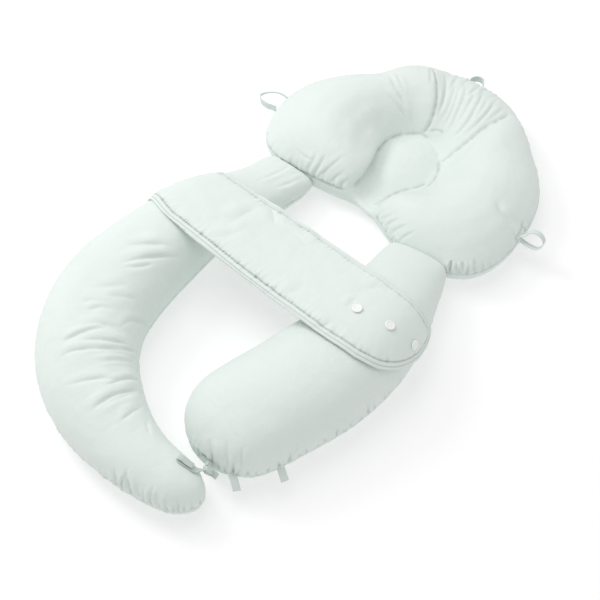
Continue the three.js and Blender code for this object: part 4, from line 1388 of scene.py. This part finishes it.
def grid_piece(name, points, finish):
    """A sheet laid on a grid of points in pattern millimetres."""
    across, along = points.shape[0] - 1, points.shape[1] - 1
    mesh = bmesh.new()
    mesh.loops.layers.uv.new("UVMap")
    bmesh.ops.create_grid(mesh, x_segments=along, y_segments=across, size=1, calc_uvs=True)
    places = in_frame(points)
    for vert in mesh.verts:
        i = round((vert.co.x + 1) / 2 * along)
        j = round((vert.co.y + 1) / 2 * across)
        vert.co = places[j, i]
    bmesh.ops.recalc_face_normals(mesh, faces=mesh.faces)
    if sum(face.normal.z for face in mesh.faces) < 0:
        bmesh.ops.reverse_faces(mesh, faces=mesh.faces)
    return smooth_piece(name, mesh, finish)


def thickened(obj, thickness_mm, group=""):
    """The sheet with its thickness worked in, half to each side."""
    solid = obj.modifiers.new("thickness", "SOLIDIFY")
    solid.thickness = thickness_mm * MM
    solid.offset = 0
    solid.vertex_group = group
    return finished_mesh(obj)


belt = grid_piece("belly_belt_cloth", belt_points, mint_cotton)
print("belt:", len(belt.data.vertices), "points")

# %% [markdown]
# The belt lies on both arms and is held only by its seam and its snaps. It is thickened from its
# grid, thinner where it is pinched, and takes the place of its solid.

# %% Belt piece
FULLEST, WADDING = 1.4, 0.9
shares = (pinch / FULLEST).clip(0.1, 1)
# the belt's painted shade goes into the same seam attribute as the cushions'
store_painted_shade(belt, np.zeros(len(belt.data.vertices)))
thick = belt.vertex_groups.new(name="thickness")
for vert in belt.data.vertices:
    thick.add([vert.index], float(shares[vert.index]), "REPLACE")
    belt.data.attributes["seam"].data[vert.index].value = belt_painted_shade[vert.index]
thickened(belt, FULLEST * BELT_THICKNESS * WADDING, "thickness")
belt.vertex_groups.clear()
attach(belt, "root")
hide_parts("belly_belt")
print("belt:", len(belt.data.polygons) * 2, "triangles")

# %% [markdown]
# ## Snaps
# Each snap's cap is a round moulding: a raised rim round a dished middle. Half its profile is
# drawn once and spun. It stands where the frame's own snap stands, square to the belt.

# %% Snap caps
SNAP_PROFILE = [
    (0, 0), (6.9, 0), (7.0, 0.4), (6.8, 0.95), (6.3, 1.4), (5.6, 1.65), (4.9, 1.6), (4.3, 1.35),
    (3.6, 1.2), (2.5, 1.2), (1.9, 1.3), (1.2, 1.45), (0, 1.5),
]
SNAP_STEPS = 48
FOOT_REACH = 0.0001


def snap_cap(name, node):
    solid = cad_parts[node].data
    underside = max(solid.polygons, key=lambda face: face.area if face.normal.z < 0 else 0)
    up = -underside.normal.copy()
    mesh = bmesh.new()
    verts = [mesh.verts.new((r * MM, 0, h * MM)) for r, h in SNAP_PROFILE]
    edges = [mesh.edges.new(pair) for pair in zip(verts, verts[1:])]
    bmesh.ops.spin(
        mesh, geom=verts + edges, cent=(0, 0, 0), axis=(0, 0, 1), angle=2 * math.pi,
        steps=SNAP_STEPS,
    )
    bmesh.ops.remove_doubles(mesh, verts=mesh.verts, dist=DOUBLES)
    bmesh.ops.recalc_face_normals(mesh, faces=mesh.faces)
    turn = up.to_track_quat("Z", "Y").to_matrix()
    bmesh.ops.rotate(mesh, verts=mesh.verts, cent=(0, 0, 0), matrix=turn)
    low = min(v.co @ up for v in solid.vertices)
    corners = [v.co for v in solid.vertices if v.co @ up < low + FOOT_REACH]
    foot = sum(corners, Vector()) / len(corners)
    bmesh.ops.translate(mesh, verts=mesh.verts, vec=foot)
    obj = smooth_piece(name, mesh, white_plastic)
    round_off = obj.modifiers.new("round", "SUBSURF")
    round_off.levels = round_off.render_levels = 1
    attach(obj, "root")
    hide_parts(node)
    return obj


snaps = [snap_cap(f"snap_cap_{i}", f"snap_{i}") for i in (1, 2, 3)]
print("snaps:", [snap.name for snap in snaps])

# %% [markdown]
# ## Tapes
# Three hanging loops, two small tabs and the tie are all cut from the same 10 mm woven tape. A
# table gives the middle of each tape and the way that its width points. The real tapes are caught
# in a seam. Here each one stops where it comes out of the cloth, so that nothing cuts through.

# %% Tape strips
TAPE_WIDTH = 10
TAPE_THICKNESS = 1.2
TAPE_SAMPLES = 120
TAPE_STEP, TAPE_LEAST = 1.2, 12
TAPE_HALF, TAPE_GAP, TAPE_MORE = 0.7, 0.3, 0.1  # a little over half a thickness, and two gaps
TAPE_SHARES = np.linspace(-0.5, 0.5, 9)[:, None, None]


def tape_strip(name, rows, cloths, thickness=TAPE_THICKNESS, finish=cotton_tape):
    """A strip of tape that starts and ends where it comes out of the cloth, and its length."""
    rows = np.array(rows, float)
    trees = [cloth_trees[cloth] for cloth in cloths]
    clear = TAPE_HALF * thickness + TAPE_GAP
    keys = lengths_along(rows[:, :3])
    at = np.linspace(0, keys[-1], TAPE_SAMPLES)
    trial = curve_through(keys, rows, at)[:, :3]
    free = [key for key, p in zip(at, trial) if all(gap_to(tree, p)[0] > clear for tree in trees)]
    length = free[-1] - free[0]
    steps = max(TAPE_LEAST, round(length / TAPE_STEP))
    line = curve_through(keys, rows, np.linspace(free[0], free[-1], steps + 1))
    wide = line[:, 3:] / np.linalg.norm(line[:, 3:], axis=1)[:, None]
    points = line[None, :, :3] + TAPE_SHARES * TAPE_WIDTH * wide[None]
    push_out(points.reshape(-1, 3), cloths, clear + TAPE_MORE)
    obj = thickened(grid_piece(name, points, finish), thickness)
    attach(obj, "root")
    return obj, length


print("one tape:", TAPE_WIDTH, "mm wide and", TAPE_THICKNESS, "mm thick")

# %% [markdown]
# The loops are sewn into the head cushion's seam at its left, right and top. Each row of a loop's
# table holds a place in the middle of the tape, and the way across it.

# %% Loops
LOOPS = {
    "loop_left": [
        (-194, 256, 44, 0, 0.1, 1),
        (-204, 255, 45, 0, 0.15, 1),
        (-213, 253, 46, 0, 0.15, 1),
        (-225, 256, 46, 0, 0, 1),
        (-231, 264, 45, 0.2, -0.2, 0.9),
        (-225, 275, 44, 0.3, -0.4, 0.85),
        (-211, 283, 43, 0.28, -0.4, 0.85),
        (-199, 282, 43, 0.2, -0.3, 0.9),
        (-189, 279, 43, 0.1, -0.2, 1),
    ],
    "loop_right": [
        (193, 246, 46, 0.1, -0.9, 0.4),
        (202, 248, 49, 0.1, -0.9, 0.4),
        (209, 254, 56, 0.1, -0.9, 0.4),
        (219, 256, 57, 0.1, -0.9, 0.4),
        (230, 253, 49, 0.1, -0.85, 0.45),
        (226, 247, 38, 0.1, -0.8, 0.55),
        (210, 245, 37, 0.1, -0.9, 0.4),
        (202, 245, 39, 0.1, -0.9, 0.4),
        (193, 245, 40, 0.1, -0.9, 0.4),
    ],
    "loop_top": [
        (6, 442, 42, 0, 0.1, 1),
        (9, 450, 42, 0, 0.1, 1),
        (13, 456, 41, 0, 0.15, 1),
        (19, 458, 41, 0, 0.15, 1),
        (25, 456, 41, 0, 0.15, 1),
        (28, 450, 42, 0, 0.1, 1),
        (29, 441, 42, 0, 0.1, 1),
    ],
}
for node, rows in LOOPS.items():
    strip, strip_length = tape_strip(node + "_tape", rows, ["head"])
    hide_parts(node)
    strip_length * MM
    print(node, round(strip_length), "mm of tape")

# %% [markdown]
# A tab is a short piece of tape folded double. The two small tabs hang from the right arm's end.
# The fold itself is too small to see, so each tab is one strip of twice the thickness.

# %% Tabs
TAB_THICKNESS = 2 * TAPE_THICKNESS
TABS = {
    "tab_1": [
        (54, -254, 41, 0.75, 0.66, 0.05),
        (62, -259, 40, 0.75, 0.66, 0.05),
        (70, -265, 35, 0.75, 0.66, 0.05),
        (75, -269, 28, 0.75, 0.66, 0.05),
    ],
    "tab_2": [
        (98, -212, 42, 0.57, 0.82, 0.05),
        (106, -217, 41, 0.57, 0.82, 0.05),
        (114, -223, 36, 0.57, 0.82, 0.05),
        (119, -226, 29, 0.57, 0.82, 0.05),
    ],
}
for node, rows in TABS.items():
    strip, strip_length = tape_strip(node + "_tape", rows, ["right"], TAB_THICKNESS)
    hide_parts(node)
    strip_length * MM
    print(node, round(strip_length), "mm of tape")

# %% [markdown]
# ## Tie
# The tie is two tapes, one from the end of each arm, knotted in the gap between them. One lies
# folded over the left arm's end, one comes from the right arm, and a short tail is left free.

# %% Tie paths
LEFT_END_PATH = [(5, -288, 71), (11, -288, 70), (17, -287, 68), (24, -286, 65)]
FOLDED_PATH = [(22, -285, 67), (17, -286, 69), (11, -286, 71), (5, -286, 72)]
TURN_PATH = [(1, -287, 71), (2, -287, 71)]
RIGHT_END_PATH = [(17, -258, 50), (22, -261, 51), (27, -263, 51)]
ON_CLOTH, ON_TURN, ON_TAPE = 1.4, 3.0, 4.6


def laid_on(cloth, path, clear=ON_CLOTH):
    """Rows for a tape that lies flat on the cloth along a path, a little clear of it."""
    found = [cloth_trees[cloth].find_nearest(Vector(in_frame(place)))[:2] for place in path]
    middle = np.array([in_pattern(place) for place, _ in found])
    facing = np.array([normal for _, normal in found])
    wide = np.cross(np.gradient(middle, axis=0), facing)
    return [(*m, *w) for m, w in zip(middle + facing * clear, wide)]


folded_over = [(*row[:3], *(-np.array(row[3:]))) for row in laid_on("left", FOLDED_PATH, ON_TAPE)]
turned = laid_on("left", TURN_PATH, ON_TURN)[:1]
left_rows = folded_over + turned + laid_on("left", LEFT_END_PATH)
right_rows = laid_on("right", RIGHT_END_PATH)
print("the tape's first place on the left arm:", [round(v) for v in left_rows[0][:3]])

# %% [markdown]
# Each visible end is its own strip, and they meet in the knot. The tie's tape has a painted shade,
# greyer than the other tapes, and the tie stands for the one solid of the frame's own tie.

# %% Tie ends
TIE_ENDS = {
    "tie_left_end": left_rows + [(31, -281, 57, 0, -0.8, 0.6), (36, -274, 51, -0.2, -0.4, 0.9)],
    "tie_right_end": right_rows + [(32, -269, 52, 0.3, 0.2, 0.9), (36, -274, 51, 0, 0, 1)],
    "tie_tail": [
        (35, -274, 51, 0.2, 0.6, 0.8),
        (43, -273, 49, 0.2, 0.6, 0.8),
        (49, -273, 46, 0.2, 0.6, 0.8),
    ],
}
for name, rows in TIE_ENDS.items():
    strip, strip_length = tape_strip(name, rows, ["left", "right"], finish=shaded_tie_tape)
    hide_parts("tie")
    strip_length * MM
    print(name, round(strip_length), "mm of tape")

# %% [markdown]
# The knot is small and pulled tight, so its turns don't show one by one. A ball that noise has
# crumpled looks like it from any side, where a true knot of tape would cut through itself.

# %% Tie knot
TIE_KNOT = np.array([36, -274, 51])
KNOT_SIZE = (7.5, 5.2, 4.6)
knot_mesh = bmesh.new()
bmesh.ops.create_icosphere(knot_mesh, subdivisions=4, radius=1)
for vert in knot_mesh.verts:
    crumple = 1 + 0.22 * noise.noise(vert.co * 2.6) + 0.1 * noise.noise(vert.co * 6)
    vert.co = Vector(in_frame(TIE_KNOT + np.array(vert.co) * KNOT_SIZE * crumple))
# the knot has the tie's tape with its painted shade
knot = smooth_piece("tie_knot", knot_mesh, shaded_tie_tape)
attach(knot, "root")
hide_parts("tie")
print("knot:", len(knot.data.polygons), "triangles")

# %% [markdown]
# ## Floor and light
# The photo is cut out on white, so the floor is plain and pale, and glows a little to keep the
# shade under the pillow light.

# %% Floor
FLOOR_REACH, FLOOR_DROP = 6, 0.0005
FLOOR_GREY, FLOOR_GLOW = 0.6, 0.44
floor_finish = Finish("pale_floor")
floor_finish.set(
    Base_Color=(FLOOR_GREY, FLOOR_GREY, FLOOR_GREY, 1),
    Roughness=0.9,
    Emission_Color=(1, 1, 1, 1),
    Emission_Strength=FLOOR_GLOW,
)
grid = bmesh.new()
bmesh.ops.create_grid(grid, x_segments=1, y_segments=1, size=FLOOR_REACH)
floor_mesh = bpy.data.meshes.new("floor")
grid.to_mesh(floor_mesh)
grid.free()
floor_mesh.materials.append(floor_finish.material)
floor = bpy.data.objects.new("floor", floor_mesh)
bpy.context.scene.collection.objects.link(floor)
floor.location.z = -FLOOR_DROP
print("floor:", 2 * FLOOR_REACH, "m wide")

# %% [markdown]
# A large soft lamp stands behind to the left, as in the photo, and a larger one nearly overhead.
# Hard lamps would draw dark lines beside the folds, so the white world lights all sides as well.

# %% Lights
LAMP_DISTANCE = 2.6
WORLD_STRENGTH = 0.61


def soft_lamp(name, azimuth, elevation, size, power):
    """A square soft lamp that faces the pillow."""
    lamp = bpy.data.lights.new(name, "AREA")
    lamp.size = size
    lamp.energy = power
    return aimed(bpy.data.objects.new(name, lamp), direction(azimuth, elevation), LAMP_DISTANCE)


lamps = [soft_lamp("key", -95, 44, 0.9, 19), soft_lamp("top", -110, 76, 1.8, 19)]
world = bpy.data.worlds.new("world")
world.use_nodes = True
background = world.node_tree.nodes["Background"]
background.inputs["Color"].default_value = (1, 1, 1, 1)
background.inputs["Strength"].default_value = WORLD_STRENGTH
bpy.context.scene.world = world
print("lamps:", [lamp.name for lamp in lamps])
